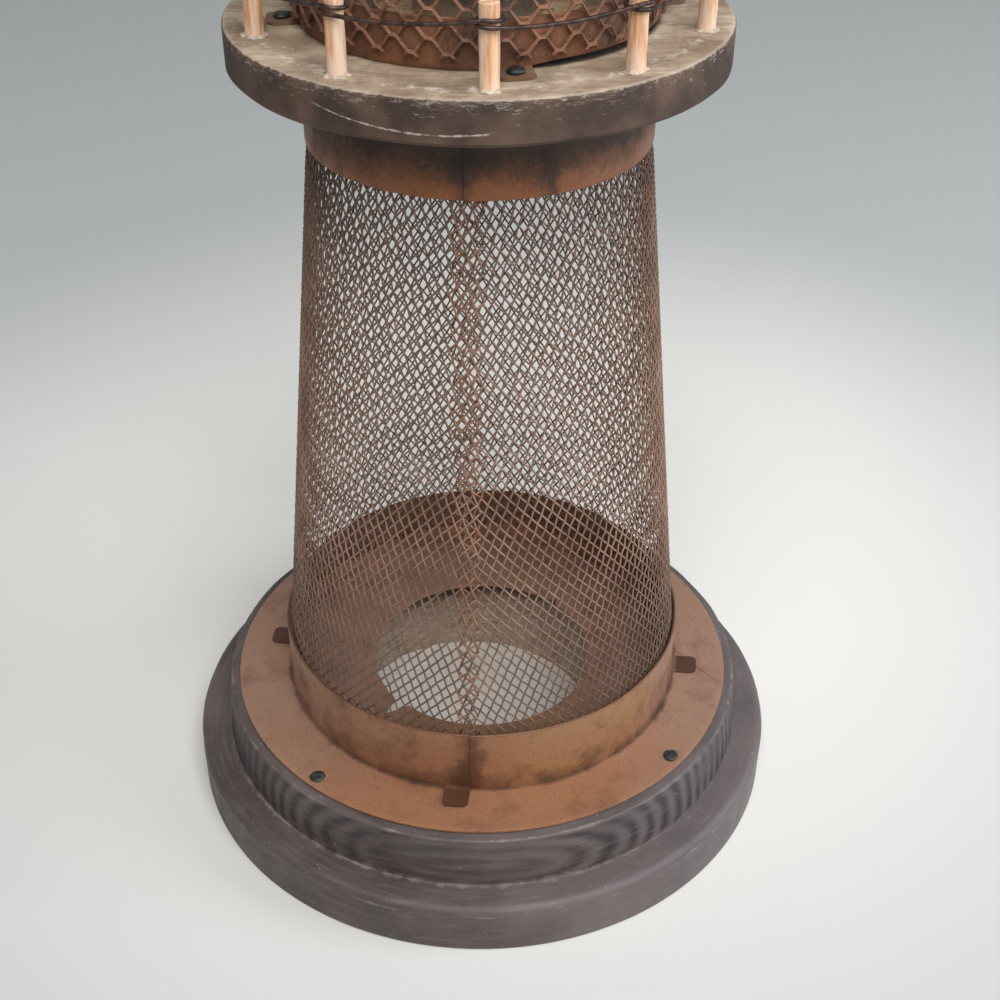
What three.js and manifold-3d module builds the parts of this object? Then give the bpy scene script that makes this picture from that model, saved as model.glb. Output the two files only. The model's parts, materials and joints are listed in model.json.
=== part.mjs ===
// A lighthouse-shaped tealight lantern: stacked base boards, a nailed tin flange, a wire-cloth tower
// between two tin collars, a wooden gallery with a wire rail, and a tin and expanded-metal lantern room
// under a lift-off tin roof. Millimetres, +Z up, with the origin in the middle of the base's underside.
// The front is at -Y, and angles are degrees from the front that grow towards +X.

import * as THREE from 'three';
import { mergeVertices } from 'three/addons/utils/BufferGeometryUtils.js';
import Module from 'manifold-3d';

// Clearances
const FIT = 0.3; // between pieces that wrap or pass through each other
const SEAT = 0.1; // between flat faces that rest on each other

// Degrees in a full circle, and the facets round it
const FULL_TURN = 360;
const ROUND_SIDES = 36;
const CUP_SIDES = 24;
const DOWEL_SIDES = 8;
const NAIL_SIDES = 6;

// Sheet tin and the nails that hold it
const TIN = 0.8;
const NAIL_HEAD_RADIUS = 2.6;
const NAIL_HEAD_HEIGHT = 1.3;
const NAIL_HEAD_WALL = 0.4; // share of the head's height that is upright
const NAIL_HEAD_FLAT = 0.6; // share of the head's radius that is hammered flat
const NAIL_SHANK_RADIUS = 0.9;
const NAIL_LENGTH = 9;

// Base of two turned boards with one rough hole sawn through both, a little off centre
const BOARD_THICKNESS = 19;
const LOWER_BOARD_RADIUS = 106;
const LOWER_BOARD_SHOULDER = 3.1;
const SHOULDER_STEPS = 3;
const UPPER_BOARD_RADIUS = 95;
const UPPER_BOARD_TAPER = 1.5;
const UPPER_BOARD_EDGE = 1.2;
const BASE_HOLE_RADIUS = 48.5;
const BASE_HOLE_X = -5;
const BASE_HOLE_Y = 2.5;

// Tin flange on the base: its hole is hand-snipped, with one straight side, a notch and a slit
const PLATE_MARGIN = 2.4;
const PLATE_NAIL_INSET = 4.2;
const PLATE_NAIL_ANGLE = 50;
const PLATE_HOLE_RADIUS = 39.7;
const SNIP_FROM = -77;
const SNIP_TO = -49;
const SNIP_OVERCUT = 1.8;
const NOTCH_ANGLE = -45;
const NOTCH_DEPTH = 8.5;
const NOTCH_TO = -41;
const SLIT_ANGLE = 138;
const SLIT_HALF_ANGLE = 3;
const SLIT_DEPTH = 3;

// Lower collar, with tabs bent out on to the flange
const LOWER_COLLAR_RADIUS = 70.7;
const LOWER_COLLAR_HEIGHT = 24.5;
const LOWER_TAB_WIDTH = 8.4;
const LOWER_TAB_LENGTH = 9;
const LOWER_TAB_ANGLE = -6;

// Tower of woven wire cloth, pulled on the bias into upright diamonds, cut as a flat fan and rolled into a
// cone with a front seam
const TOWER_RISE = 179; // bare cloth between the two collars
const CLOTH_STANDOFF = 0.7; // inside the lower collar
const CLOTH_NECK = 1.3; // drawn in to enter the upper collar
const CLOTH_NECK_HEIGHT = 5;
const CLOTH_WIRE_RADIUS = 0.75;
const CLOTH_LAYERS = 1.7; // from the middle of one set of wires to the middle of the crossing set
const CLOTH_PITCH = 17;
const CLOTH_WIRE_STEP = 16;
const CLOTH_WIRE_SIDES = 3;
const CLOTH_BIAS = 31; // to each side of the upright
const CLOTH_TRIM_STEP = 0.5;
const CLOTH_TUCK = 16; // length of cloth hidden in each collar
const HEM_HEIGHT = 2.4;
const SELVEDGE_RADIUS = 1.6;
const SELVEDGE_SIDES = 4;
const SELVEDGE_GAP = 3.4;
const SEAM_ANGLE = -4;

// Upper collar, with tabs bent in under the gallery deck
const UPPER_COLLAR_RADIUS = 51.8;
const UPPER_COLLAR_HEIGHT = 22.8;
const UPPER_TAB_WIDTH = 8.4;
const UPPER_TAB_LENGTH = 8;
const UPPER_TAB_ANGLE = 41;

// Gallery deck, its dowel balusters and the wire rail wound once round each of them
const DECK_RADIUS = 72.4;
const DECK_THICKNESS = 12.5;
const DECK_EDGE = 1;
const BALUSTER_COUNT = 10;
const BALUSTER_OFFSET = 3;
const BALUSTER_INSET = 7.7;
const BALUSTER_RADIUS = 2.6;
const BALUSTER_HEIGHT = 22;
const BALUSTER_SOCKET = 6;
const BALUSTER_CHAMFER = 0.4;
const RAIL_WIRE_RADIUS = 0.6;
const RAIL_BELOW_TOP = 3.9;
const RAIL_PITCH = 1.7;
const RAIL_STEPS = 24;
const RAIL_SIDES = 6;
const RAIL_FIRST_POST = 5;
const RAIL_TAIL = 3.5;

// Lantern room of a nailed tin band, a sleeve of expanded metal and a tin hoop that takes the roof
const ROOM_RADIUS = 51.4;
const ROOM_HEIGHT = 80;
const BAND_HEIGHT = 13.4;
const BAND_TAB_WIDTH = 10.2;
const BAND_TAB_LENGTH = 8.6;
const BAND_TAB_ANGLE = 10.4;
const BAND_NAIL_REACH = 4.1;
const HOOP_HEIGHT = 14;
const EXPANDED_LIFT = 3.2;
const EXPANDED_COLUMNS = 15;
const EXPANDED_ROWS = 7;
const EXPANDED_STRAND = 2;
const EXPANDED_GAUGE = 0.9;
const EXPANDED_RAISE = 0.4;

// Tin drip pan and the tealight that stands in it
const PAN_RADIUS = 30;
const PAN_RIM = 4;
const CANDLE_RADIUS = 19;
const CANDLE_HEIGHT = 16;
const CANDLE_FOIL = 0.5;
const CANDLE_LIP = 0.8;
const WAX_DEPTH = 13;
const WICK_RADIUS = 0.9;
const WICK_PROUD = 7;
const SUSTAINER_RADIUS = 6.5;
const SUSTAINER_HEIGHT = 0.8;

// Roof: a rolled tin cone with a wired eave, a skirt that drops into the hoop, a cap, an eye and a ring
const ROOF_SLOPE = 38;
const EAVE_OVERHANG = 11;
const EAVE_BEAD_RADIUS = 1.3;
const EAVE_BEAD_FROM = -135; // the bead's own angles, from its inner foot round to its top
const EAVE_BEAD_TO = 45;
const EAVE_BEAD_STEPS = 4;
const ROOF_SEAM_WIDTH = 6;
const ROOF_SEAM_PROUD = 0.6;
const SKIRT_DEPTH = 9;
const SKIRT_PLAY = 0.5;
const CAP_RADIUS = 12;
const CAP_RISE = 1.5;
const EYE_RADIUS = 4.6;
const EYE_WIRE_RADIUS = 1.2;
const EYE_STEM_LENGTH = 9;
const RING_RADIUS = 14;
const RING_WIRE_RADIUS = 1.3;
const RING_SWING_STEP = 0.25;

// Sizes that follow from the ones above
const CLOTH_HALF = CLOTH_LAYERS / 2 + CLOTH_WIRE_RADIUS;
const BASE_TOP = 2 * BOARD_THICKNESS + 2 * SEAT;
const PLATE_RADIUS = UPPER_BOARD_RADIUS - UPPER_BOARD_TAPER - UPPER_BOARD_EDGE - PLATE_MARGIN;
const PLATE_NAIL_CIRCLE = PLATE_RADIUS - PLATE_NAIL_INSET;
const TOWER_FOOT = BASE_TOP + TIN + SEAT;
const UPPER_COLLAR_FOOT = LOWER_COLLAR_HEIGHT + TOWER_RISE;
const DECK_FOOT = TOWER_FOOT + UPPER_COLLAR_FOOT + UPPER_COLLAR_HEIGHT + SEAT;
const UPPER_NAIL_CIRCLE = UPPER_COLLAR_RADIUS - TIN - UPPER_TAB_LENGTH / 2;
const BALUSTER_CIRCLE = DECK_RADIUS - BALUSTER_INSET;
const BAND_NAIL_CIRCLE = ROOM_RADIUS + BAND_NAIL_REACH;
const ROOM_FOOT = DECK_FOOT + DECK_THICKNESS + SEAT;
const ROOF_FALL = Math.tan(THREE.MathUtils.degToRad(ROOF_SLOPE)); // drop for each millimetre outwards

const wasm = await Module();
wasm.setup();

// Place on a circle, by its angle from the front
function onCircle(radius, degrees, height = 0) {
  const angle = THREE.MathUtils.degToRad(degrees);
  return new THREE.Vector3(radius * Math.sin(angle), -radius * Math.cos(angle), height);
}

function ringOfPoints(radius, sides, centreX = 0, centreY = 0) {
  const points = [];
  for (let side = 0; side < sides; side += 1) {
    const place = onCircle(radius, (FULL_TURN * side) / sides);
    points.push(new THREE.Vector2(centreX + place.x, centreY + place.y));
  }
  return points;
}

// Turned solid: the profile is a closed loop of [radius, height] pairs
function turned(profile, sides = ROUND_SIDES) {
  const points = profile.map(([radius, height]) => new THREE.Vector2(radius, height));
  points.push(points[0].clone());
  return new THREE.LatheGeometry(points, sides).rotateX(Math.PI / 2);
}

// Points of a rounded edge in a profile, from one angle to another
function roundedEdge([centreRadius, centreHeight], radius, from, to, steps) {
  return Array.from({ length: steps + 1 }, (_, step) => {
    const angle = THREE.MathUtils.degToRad(from + ((to - from) * step) / steps);
    return [centreRadius + radius * Math.cos(angle), centreHeight + radius * Math.sin(angle)];
  });
}

function tubeOf(outer, inner, foot, top, sides = ROUND_SIDES) {
  return turned([[inner, foot], [outer, foot], [outer, top], [inner, top]], sides);
}

function post(radius, foot, top, sides) {
  return turned([[0, foot], [radius, foot], [radius, top], [0, top]], sides);
}

// Closed mesh with shared corners and no empty triangles, facing outwards
function tidied(geometry) {
  const bare = geometry.clone();
  bare.deleteAttribute('normal');
  bare.deleteAttribute('uv');
  const merged = mergeVertices(bare, 1e-4);
  const corners = merged.index.array;
  const place = merged.attributes.position;
  const kept = [];
  let volume = 0;
  const [a, b, c] = [new THREE.Vector3(), new THREE.Vector3(), new THREE.Vector3()];
  for (let i = 0; i < corners.length; i += 3) {
    const [p, q, r] = [corners[i], corners[i + 1], corners[i + 2]];
    if (p !== q && q !== r && r !== p) {
      kept.push(p, q, r);
      a.fromBufferAttribute(place, p);
      b.fromBufferAttribute(place, q);
      c.fromBufferAttribute(place, r);
      volume += a.dot(b.cross(c));
    }
  }
  if (volume < 0) {
    kept.reverse();
  }
  merged.setIndex(kept);
  return merged;
}

function toSolid(geometry) {
  const closed = tidied(geometry);
  return new wasm.Manifold(new wasm.Mesh({
    numProp: 3,
    vertProperties: new Float32Array(closed.attributes.position.array),
    triVerts: new Uint32Array(closed.index.array),
  }));
}

function toGeometry(solid) {
  const mesh = solid.getMesh();
  const geometry = new THREE.BufferGeometry();
  geometry.setAttribute('position', new THREE.BufferAttribute(new Float32Array(mesh.vertProperties), 3));
  geometry.setIndex(Array.from(mesh.triVerts));
  return geometry;
}

function cut(geometry, tools) {
  return toGeometry(tools.reduce((solid, tool) => solid.subtract(toSolid(tool)), toSolid(geometry)));
}

function joined(geometries) {
  return toGeometry(geometries.map(toSolid).reduce((solid, next) => solid.add(next)));
}

// Wire along a row of points, with its two ends closed. A wire that lies on the tower keeps one side
// square to the axis, and any other wire carries its section along without twist.
function wireAlong(points, radius, sides, onTower = false) {
  const positions = [];
  const faces = [];
  const normal = new THREE.Vector3();
  points.forEach((point, i) => {
    const ahead = points[Math.min(i + 1, points.length - 1)];
    const behind = points[Math.max(i - 1, 0)];
    const tangent = ahead.clone().sub(behind).normalize();
    if (onTower || i === 0) {
      normal.set(point.x, point.y, 0);
    }
    normal.addScaledVector(tangent, -normal.dot(tangent)).normalize();
    const binormal = tangent.clone().cross(normal);
    for (let side = 0; side < sides; side += 1) {
      const angle = (2 * Math.PI * (side + 0.5)) / sides;
      const corner = point.clone()
        .addScaledVector(normal, radius * Math.cos(angle))
        .addScaledVector(binormal, radius * Math.sin(angle));
      positions.push(corner.x, corner.y, corner.z);
    }
  });
  for (let ring = 0; ring + 1 < points.length; ring += 1) {
    for (let side = 0; side < sides; side += 1) {
      const here = ring * sides + side;
      const next = ring * sides + ((side + 1) % sides);
      faces.push(here, next, next + sides, here, next + sides, here + sides);
    }
  }
  const last = (points.length - 1) * sides;
  for (let side = 1; side + 1 < sides; side += 1) {
    faces.push(0, side + 1, side);
    faces.push(last, last + side, last + side + 1);
  }
  const geometry = new THREE.BufferGeometry();
  geometry.setAttribute('position', new THREE.Float32BufferAttribute(positions, 3));
  geometry.setIndex(faces);
  return geometry;
}

// Flat tab that lies along a radius, between two radii
function tab(width, from, to, degrees, foot) {
  const length = to - from;
  return new THREE.BoxGeometry(width, length, TIN)
    .translate(0, -(from + length / 2), foot + TIN / 2)
    .rotateZ(THREE.MathUtils.degToRad(degrees));
}

function quarterAngles(first) {
  return [0, 1, 2, 3].map((quarter) => first + (FULL_TURN * quarter) / 4);
}

function finish(color, roughness, metalness) {
  return new THREE.MeshStandardMaterial({ color, roughness, metalness });
}

const darkWood = finish(0x4b4243, 0.55, 0);
const deckWood = finish(0x8d8472, 0.8, 0);
const dowelWood = finish(0xc79f7a, 0.8, 0);
const lacqueredTin = finish(0xab7352, 0.5, 0.6);
const rustyTin = finish(0x86573c, 0.75, 0.4);
const rustyWire = finish(0x7a5a4c, 0.7, 0.5);
const railSteel = finish(0x5a4740, 0.6, 0.6);
const nailIron = finish(0x46504c, 0.5, 0.7);
const foil = finish(0xc9cbcc, 0.3, 0.9);
const wax = finish(0xefe8d8, 0.5, 0);
const cotton = finish(0xe2d9c3, 0.9, 0);

const lantern = new THREE.Group();

function section(height) {
  const group = new THREE.Group();
  group.position.z = height;
  lantern.add(group);
  return group;
}

function place(parent, name, geometry, material) {
  const mesh = new THREE.Mesh(geometry, material);
  mesh.name = name;
  parent.add(mesh);
  return mesh;
}

// A round-headed nail, its head's underside at height zero and its shank pointing down
function nailShape() {
  return turned([
    [0, -NAIL_LENGTH],
    [NAIL_SHANK_RADIUS, -NAIL_LENGTH + NAIL_SHANK_RADIUS],
    [NAIL_SHANK_RADIUS, 0],
    [NAIL_HEAD_RADIUS, 0],
    [NAIL_HEAD_RADIUS, NAIL_HEAD_HEIGHT * NAIL_HEAD_WALL],
    [NAIL_HEAD_RADIUS * NAIL_HEAD_FLAT, NAIL_HEAD_HEIGHT],
    [0, NAIL_HEAD_HEIGHT],
  ], NAIL_SIDES);
}

function nailHole(radius, degrees, foot, top) {
  const centre = onCircle(radius, degrees);
  return post(NAIL_SHANK_RADIUS + FIT, foot, top, NAIL_SIDES).translate(centre.x, centre.y, 0);
}

// Base boards
const base = section(0);

function baseHole() {
  return post(BASE_HOLE_RADIUS, -BOARD_THICKNESS, 2 * BOARD_THICKNESS, ROUND_SIDES)
    .translate(BASE_HOLE_X, BASE_HOLE_Y, 0);
}

function lowerBoard() {
  const shoulderCentre = [LOWER_BOARD_RADIUS - LOWER_BOARD_SHOULDER, BOARD_THICKNESS - LOWER_BOARD_SHOULDER];
  const board = turned([
    [0, 0],
    [LOWER_BOARD_RADIUS, 0],
    ...roundedEdge(shoulderCentre, LOWER_BOARD_SHOULDER, 0, FULL_TURN / 4, SHOULDER_STEPS),
    [0, BOARD_THICKNESS],
  ]);
  return cut(board, [baseHole()]);
}

const plateNailAngles = quarterAngles(PLATE_NAIL_ANGLE);

function upperBoard() {
  const topRadius = UPPER_BOARD_RADIUS - UPPER_BOARD_TAPER;
  const board = turned([
    [0, 0],
    [UPPER_BOARD_RADIUS, 0],
    [topRadius, BOARD_THICKNESS - UPPER_BOARD_EDGE],
    [topRadius - UPPER_BOARD_EDGE, BOARD_THICKNESS],
    [0, BOARD_THICKNESS],
  ]);
  const pilotHoles = plateNailAngles.map((angle) => (
    nailHole(PLATE_NAIL_CIRCLE, angle, BOARD_THICKNESS - NAIL_LENGTH - FIT, 2 * BOARD_THICKNESS)));
  return cut(board, [baseHole(), ...pilotHoles]);
}

place(base, 'base_lower_board', lowerBoard(), darkWood);
place(base, 'base_upper_board', upperBoard(), darkWood).position.z = BOARD_THICKNESS + SEAT;

// Tin flange and its nails
const flange = section(BASE_TOP);

function holeArc(from, to) {
  const steps = Math.ceil((ROUND_SIDES * (to - from)) / FULL_TURN);
  return Array.from({ length: steps + 1 }, (_, step) => (
    onCircle(PLATE_HOLE_RADIUS, from + ((to - from) * step) / steps)));
}

function snippedHole() {
  return [
    ...holeArc(NOTCH_TO, SLIT_ANGLE - SLIT_HALF_ANGLE),
    onCircle(PLATE_HOLE_RADIUS + SLIT_DEPTH, SLIT_ANGLE),
    ...holeArc(SLIT_ANGLE + SLIT_HALF_ANGLE, FULL_TURN + SNIP_FROM),
    onCircle(PLATE_HOLE_RADIUS + SNIP_OVERCUT, SNIP_FROM),
    onCircle(PLATE_HOLE_RADIUS + SNIP_OVERCUT, SNIP_TO),
    onCircle(PLATE_HOLE_RADIUS + NOTCH_DEPTH, NOTCH_ANGLE),
  ].map((point) => new THREE.Vector2(point.x, point.y));
}

function flangePlate() {
  const outline = new THREE.Shape(ringOfPoints(PLATE_RADIUS, ROUND_SIDES));
  outline.holes.push(new THREE.Path(snippedHole()));
  plateNailAngles.forEach((angle) => {
    const centre = onCircle(PLATE_NAIL_CIRCLE, angle);
    const rim = ringOfPoints(NAIL_SHANK_RADIUS + FIT, NAIL_SIDES, centre.x, centre.y);
    outline.holes.push(new THREE.Path(rim));
  });
  return new THREE.ExtrudeGeometry(outline, { depth: TIN, bevelEnabled: false });
}

place(flange, 'flange_plate', flangePlate(), lacqueredTin);
plateNailAngles.forEach((angle, i) => {
  const nail = place(flange, `plate_nail_${i + 1}`, nailShape(), nailIron);
  nail.position.copy(onCircle(PLATE_NAIL_CIRCLE, angle, TIN + SEAT));
});

// Tower: lower collar, wire cloth and upper collar
const tower = section(TOWER_FOOT);

function lowerCollar() {
  const inner = LOWER_COLLAR_RADIUS - TIN;
  const tabs = quarterAngles(LOWER_TAB_ANGLE).map((angle) => (
    tab(LOWER_TAB_WIDTH, LOWER_COLLAR_RADIUS - TIN / 2, LOWER_COLLAR_RADIUS + LOWER_TAB_LENGTH, angle, 0)));
  return joined([tubeOf(LOWER_COLLAR_RADIUS, inner, 0, LOWER_COLLAR_HEIGHT), ...tabs]);
}

// The cone that the cloth follows, by its radius at the top of the lower collar and under the neck
const clothFootRadius = LOWER_COLLAR_RADIUS - TIN - CLOTH_STANDOFF - CLOTH_HALF;
const clothNeckRadius = UPPER_COLLAR_RADIUS - TIN - FIT - CLOTH_HALF;
const clothTopRadius = clothNeckRadius + CLOTH_NECK;
const coneRise = TOWER_RISE - CLOTH_NECK_HEIGHT;
const coneTaper = (clothFootRadius - clothTopRadius) / coneRise;
const coneAngle = Math.atan(coneTaper);
const apexHeight = LOWER_COLLAR_HEIGHT + clothFootRadius / coneTaper;
const clothFoot = LOWER_COLLAR_HEIGHT - CLOTH_TUCK;
const clothTop = UPPER_COLLAR_FOOT + CLOTH_TUCK;
const neckFoot = LOWER_COLLAR_HEIGHT + coneRise;
const neckTop = UPPER_COLLAR_FOOT - TIN;
const clothBends = [LOWER_COLLAR_HEIGHT, neckFoot, neckTop];

function clothRadius(height) {
  const neckShare = (height - neckFoot) / (neckTop - neckFoot);
  const onCone = (apexHeight - height) * coneTaper;
  if (neckShare > 0) {
    return clothTopRadius - CLOTH_NECK * Math.min(neckShare, 1);
  }
  return Math.min(onCone, clothFootRadius);
}

function flatHeight(flat) {
  return apexHeight - flat.length() * Math.cos(coneAngle);
}

// Rolls a point of the flat fan, whose middle lies at the back, on to the tower
function rolled(flat, layer) {
  const swing = Math.atan2(flat.x, flat.y) / Math.sin(coneAngle);
  const height = flatHeight(flat);
  const degrees = SEAM_ANGLE + 180 + THREE.MathUtils.radToDeg(swing);
  return onCircle(clothRadius(height) + layer, degrees, height);
}

// Stations along a wire, with the nearest one moved on to each bend of the cloth
function bendStations(run, even) {
  const stations = [...even];
  clothBends.forEach((bend) => {
    const crossing = run.findIndex((flat, i) => (
      i > 0 && (flatHeight(flat) - bend) * (flatHeight(run[i - 1]) - bend) <= 0));
    const inner = stations.slice(1, -1);
    if (crossing > 0 && inner.length > 0) {
      const nearest = inner.reduce((best, station) => (
        Math.abs(station - crossing) < Math.abs(best - crossing) ? station : best));
      stations[stations.indexOf(nearest)] = crossing;
    }
  });
  return stations.sort((a, b) => a - b);
}

// Wires of one set: straight lines across the flat fan, trimmed at its edges
function clothWires(bias, layer) {
  const nearSlant = (apexHeight - clothTop) / Math.cos(coneAngle);
  const farSlant = (apexHeight - clothFoot) / Math.cos(coneAngle);
  const edgeAngle = Math.PI * Math.sin(coneAngle);
  const angle = THREE.MathUtils.degToRad(bias);
  const along = new THREE.Vector2(Math.sin(angle), Math.cos(angle));
  const across = new THREE.Vector2(along.y, -along.x);
  const reach = Math.ceil(farSlant / CLOTH_PITCH);
  const edgeLap = SELVEDGE_GAP / 2;
  const wires = [];
  for (let line = -reach; line <= reach; line += 1) {
    const start = across.clone().multiplyScalar((line + 0.5) * CLOTH_PITCH);
    let run = [];
    for (let travel = 0; travel <= farSlant; travel += CLOTH_TRIM_STEP) {
      const flat = start.clone().addScaledVector(along, travel);
      const slant = flat.length();
      const fromEdge = (edgeAngle - Math.abs(Math.atan2(flat.x, flat.y))) * slant;
      const inside = slant > nearSlant && slant < farSlant && fromEdge > edgeLap;
      if (inside) {
        run.push(flat);
      }
      if (run.length > 0 && (!inside || travel + CLOTH_TRIM_STEP > farSlant)) {
        wires.push(run);
        run = [];
      }
    }
  }
  return wires
    .filter((run) => run.length * CLOTH_TRIM_STEP > CLOTH_WIRE_STEP)
    .map((run) => {
      const steps = Math.ceil((run.length * CLOTH_TRIM_STEP) / CLOTH_WIRE_STEP);
      const even = Array.from({ length: steps + 1 }, (_, step) => (
        Math.round(((run.length - 1) * step) / steps)));
      const points = bendStations(run, even).map((station) => rolled(run[station], layer));
      return wireAlong(points, CLOTH_WIRE_RADIUS, CLOTH_WIRE_SIDES, true);
    });
}

function selvedge(side) {
  const points = [clothFoot, ...clothBends, clothTop].map((height) => {
    const radius = clothRadius(height);
    const swing = THREE.MathUtils.radToDeg((side * SELVEDGE_GAP) / 2 / radius);
    return onCircle(radius, SEAM_ANGLE + swing, height);
  });
  return wireAlong(points, SELVEDGE_RADIUS, SELVEDGE_SIDES, true);
}

function hem(height) {
  const radius = clothRadius(height);
  return tubeOf(radius + CLOTH_HALF, radius - CLOTH_HALF, height - HEM_HEIGHT / 2, height + HEM_HEIGHT / 2);
}

function wireCloth() {
  return joined([
    hem(clothFoot),
    hem(clothTop),
    selvedge(1),
    selvedge(-1),
    ...clothWires(CLOTH_BIAS, CLOTH_LAYERS / 2),
    ...clothWires(-CLOTH_BIAS, -CLOTH_LAYERS / 2),
  ]);
}

const upperTabAngles = quarterAngles(UPPER_TAB_ANGLE);

function upperCollar() {
  const inner = UPPER_COLLAR_RADIUS - TIN;
  const tabFoot = UPPER_COLLAR_HEIGHT - TIN;
  const tabs = upperTabAngles.map((angle) => (
    tab(UPPER_TAB_WIDTH, inner - UPPER_TAB_LENGTH, inner + TIN / 2, angle, tabFoot)));
  const holes = upperTabAngles.map((angle) => (
    nailHole(UPPER_NAIL_CIRCLE, angle, tabFoot - TIN, UPPER_COLLAR_HEIGHT + TIN)));
  const band = joined([tubeOf(UPPER_COLLAR_RADIUS, inner, 0, UPPER_COLLAR_HEIGHT), ...tabs]);
  return cut(band, holes);
}

place(tower, 'lower_collar', lowerCollar(), lacqueredTin);
place(tower, 'wire_tower', wireCloth(), rustyWire);
place(tower, 'upper_collar', upperCollar(), lacqueredTin).position.z = UPPER_COLLAR_FOOT;
upperTabAngles.forEach((angle, i) => {
  const nail = place(tower, `collar_nail_${i + 1}`, nailShape(), nailIron);
  const headSeat = UPPER_COLLAR_FOOT + UPPER_COLLAR_HEIGHT - TIN - SEAT;
  nail.position.copy(onCircle(UPPER_NAIL_CIRCLE, angle, headSeat));
  nail.rotation.x = Math.PI;
});

// Gallery: deck, balusters and rail
const gallery = section(DECK_FOOT);
const bandTabAngles = quarterAngles(BAND_TAB_ANGLE);
const balusterAngles = Array.from({ length: BALUSTER_COUNT }, (_, i) => (
  BALUSTER_OFFSET + (FULL_TURN * i) / BALUSTER_COUNT));

function deck() {
  const board = turned([
    [0, 0],
    [DECK_RADIUS - DECK_EDGE, 0],
    [DECK_RADIUS, DECK_EDGE],
    [DECK_RADIUS, DECK_THICKNESS - DECK_EDGE],
    [DECK_RADIUS - DECK_EDGE, DECK_THICKNESS],
    [0, DECK_THICKNESS],
  ]);
  const sockets = balusterAngles.map((angle) => {
    const centre = onCircle(BALUSTER_CIRCLE, angle);
    const foot = DECK_THICKNESS - BALUSTER_SOCKET - SEAT;
    return post(BALUSTER_RADIUS + FIT, foot, 2 * DECK_THICKNESS, DOWEL_SIDES)
      .translate(centre.x, centre.y, 0);
  });
  const fromAbove = bandTabAngles.map((angle) => (
    nailHole(BAND_NAIL_CIRCLE, angle, DECK_THICKNESS - NAIL_LENGTH, 2 * DECK_THICKNESS)));
  const fromBelow = upperTabAngles.map((angle) => (
    nailHole(UPPER_NAIL_CIRCLE, angle, -DECK_THICKNESS, NAIL_LENGTH)));
  return cut(board, [...sockets, ...fromAbove, ...fromBelow]);
}

function balusterShape() {
  return turned([
    [0, -BALUSTER_SOCKET],
    [BALUSTER_RADIUS, -BALUSTER_SOCKET],
    [BALUSTER_RADIUS, BALUSTER_HEIGHT - BALUSTER_CHAMFER],
    [BALUSTER_RADIUS - BALUSTER_CHAMFER, BALUSTER_HEIGHT],
    [0, BALUSTER_HEIGHT],
  ], DOWEL_SIDES);
}

// The rail is one wire: it comes to each post on the outside, goes once round it while it drops one
// pitch, and climbs again on its way to the next post. Its last turn lies above its first.
function railRoute() {
  const postStep = FULL_TURN / BALUSTER_COUNT;
  const turn = FULL_TURN + postStep;
  const drop = (RAIL_PITCH * turn) / FULL_TURN;
  const wrapRadius = BALUSTER_RADIUS + FIT + RAIL_WIRE_RADIUS;
  const railTop = BALUSTER_HEIGHT - RAIL_BELOW_TOP;
  const points = [];
  for (let wrap = 0; wrap <= BALUSTER_COUNT; wrap += 1) {
    const postAngle = BALUSTER_OFFSET + postStep * (RAIL_FIRST_POST + wrap);
    const centre = onCircle(BALUSTER_CIRCLE, postAngle);
    const arrival = wrap < BALUSTER_COUNT ? railTop : railTop + drop + RAIL_PITCH;
    for (let step = 0; step <= RAIL_STEPS; step += 1) {
      const share = step / RAIL_STEPS;
      const around = onCircle(wrapRadius, postAngle - postStep / 2 + turn * share, arrival - drop * share);
      points.push(around.add(centre));
    }
  }
  const lead = points[0].clone().sub(points[1]).setZ(0).setLength(RAIL_TAIL).add(points[0]);
  const last = points.length - 1;
  const tail = points[last].clone().sub(points[last - 1]).setZ(0).setLength(RAIL_TAIL).add(points[last]);
  return [lead, ...points, tail];
}

// Least clear space between two stretches of a wire that lie more than one turn's reach apart along it
function leastGap(points, radius, apart) {
  const travelled = [0];
  for (let i = 1; i < points.length; i += 1) {
    travelled.push(travelled[i - 1] + points[i].distanceTo(points[i - 1]));
  }
  let least = Infinity;
  for (let i = 0; i < points.length; i += 1) {
    for (let j = i + 1; j < points.length; j += 1) {
      if (travelled[j] - travelled[i] > apart) {
        least = Math.min(least, points[i].distanceTo(points[j]) - 2 * radius);
      }
    }
  }
  return least;
}

place(gallery, 'gallery_deck', deck(), deckWood);
balusterAngles.forEach((angle, i) => {
  const name = `baluster_${String(i + 1).padStart(2, '0')}`;
  const dowel = place(gallery, name, balusterShape(), dowelWood);
  dowel.position.copy(onCircle(BALUSTER_CIRCLE, angle, DECK_THICKNESS));
});
const railPoints = railRoute();
const railGap = leastGap(railPoints, RAIL_WIRE_RADIUS, 4 * (BALUSTER_RADIUS + RAIL_WIRE_RADIUS));
console.log(`rail wire: least gap to itself ${railGap.toFixed(2)} mm`);
const rail = place(gallery, 'rail_wire', wireAlong(railPoints, RAIL_WIRE_RADIUS, RAIL_SIDES), railSteel);
rail.position.z = DECK_THICKNESS;

// Lantern room: nailed band, expanded-metal sleeve and top hoop
const room = section(ROOM_FOOT);

function roomBand() {
  const inner = ROOM_RADIUS - TIN;
  const tabs = bandTabAngles.map((angle) => (
    tab(BAND_TAB_WIDTH, ROOM_RADIUS - TIN / 2, ROOM_RADIUS + BAND_TAB_LENGTH, angle, 0)));
  const holes = bandTabAngles.map((angle) => nailHole(BAND_NAIL_CIRCLE, angle, -TIN, 2 * TIN));
  return cut(joined([tubeOf(ROOM_RADIUS, inner, 0, BAND_HEIGHT), ...tabs]), holes);
}

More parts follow.
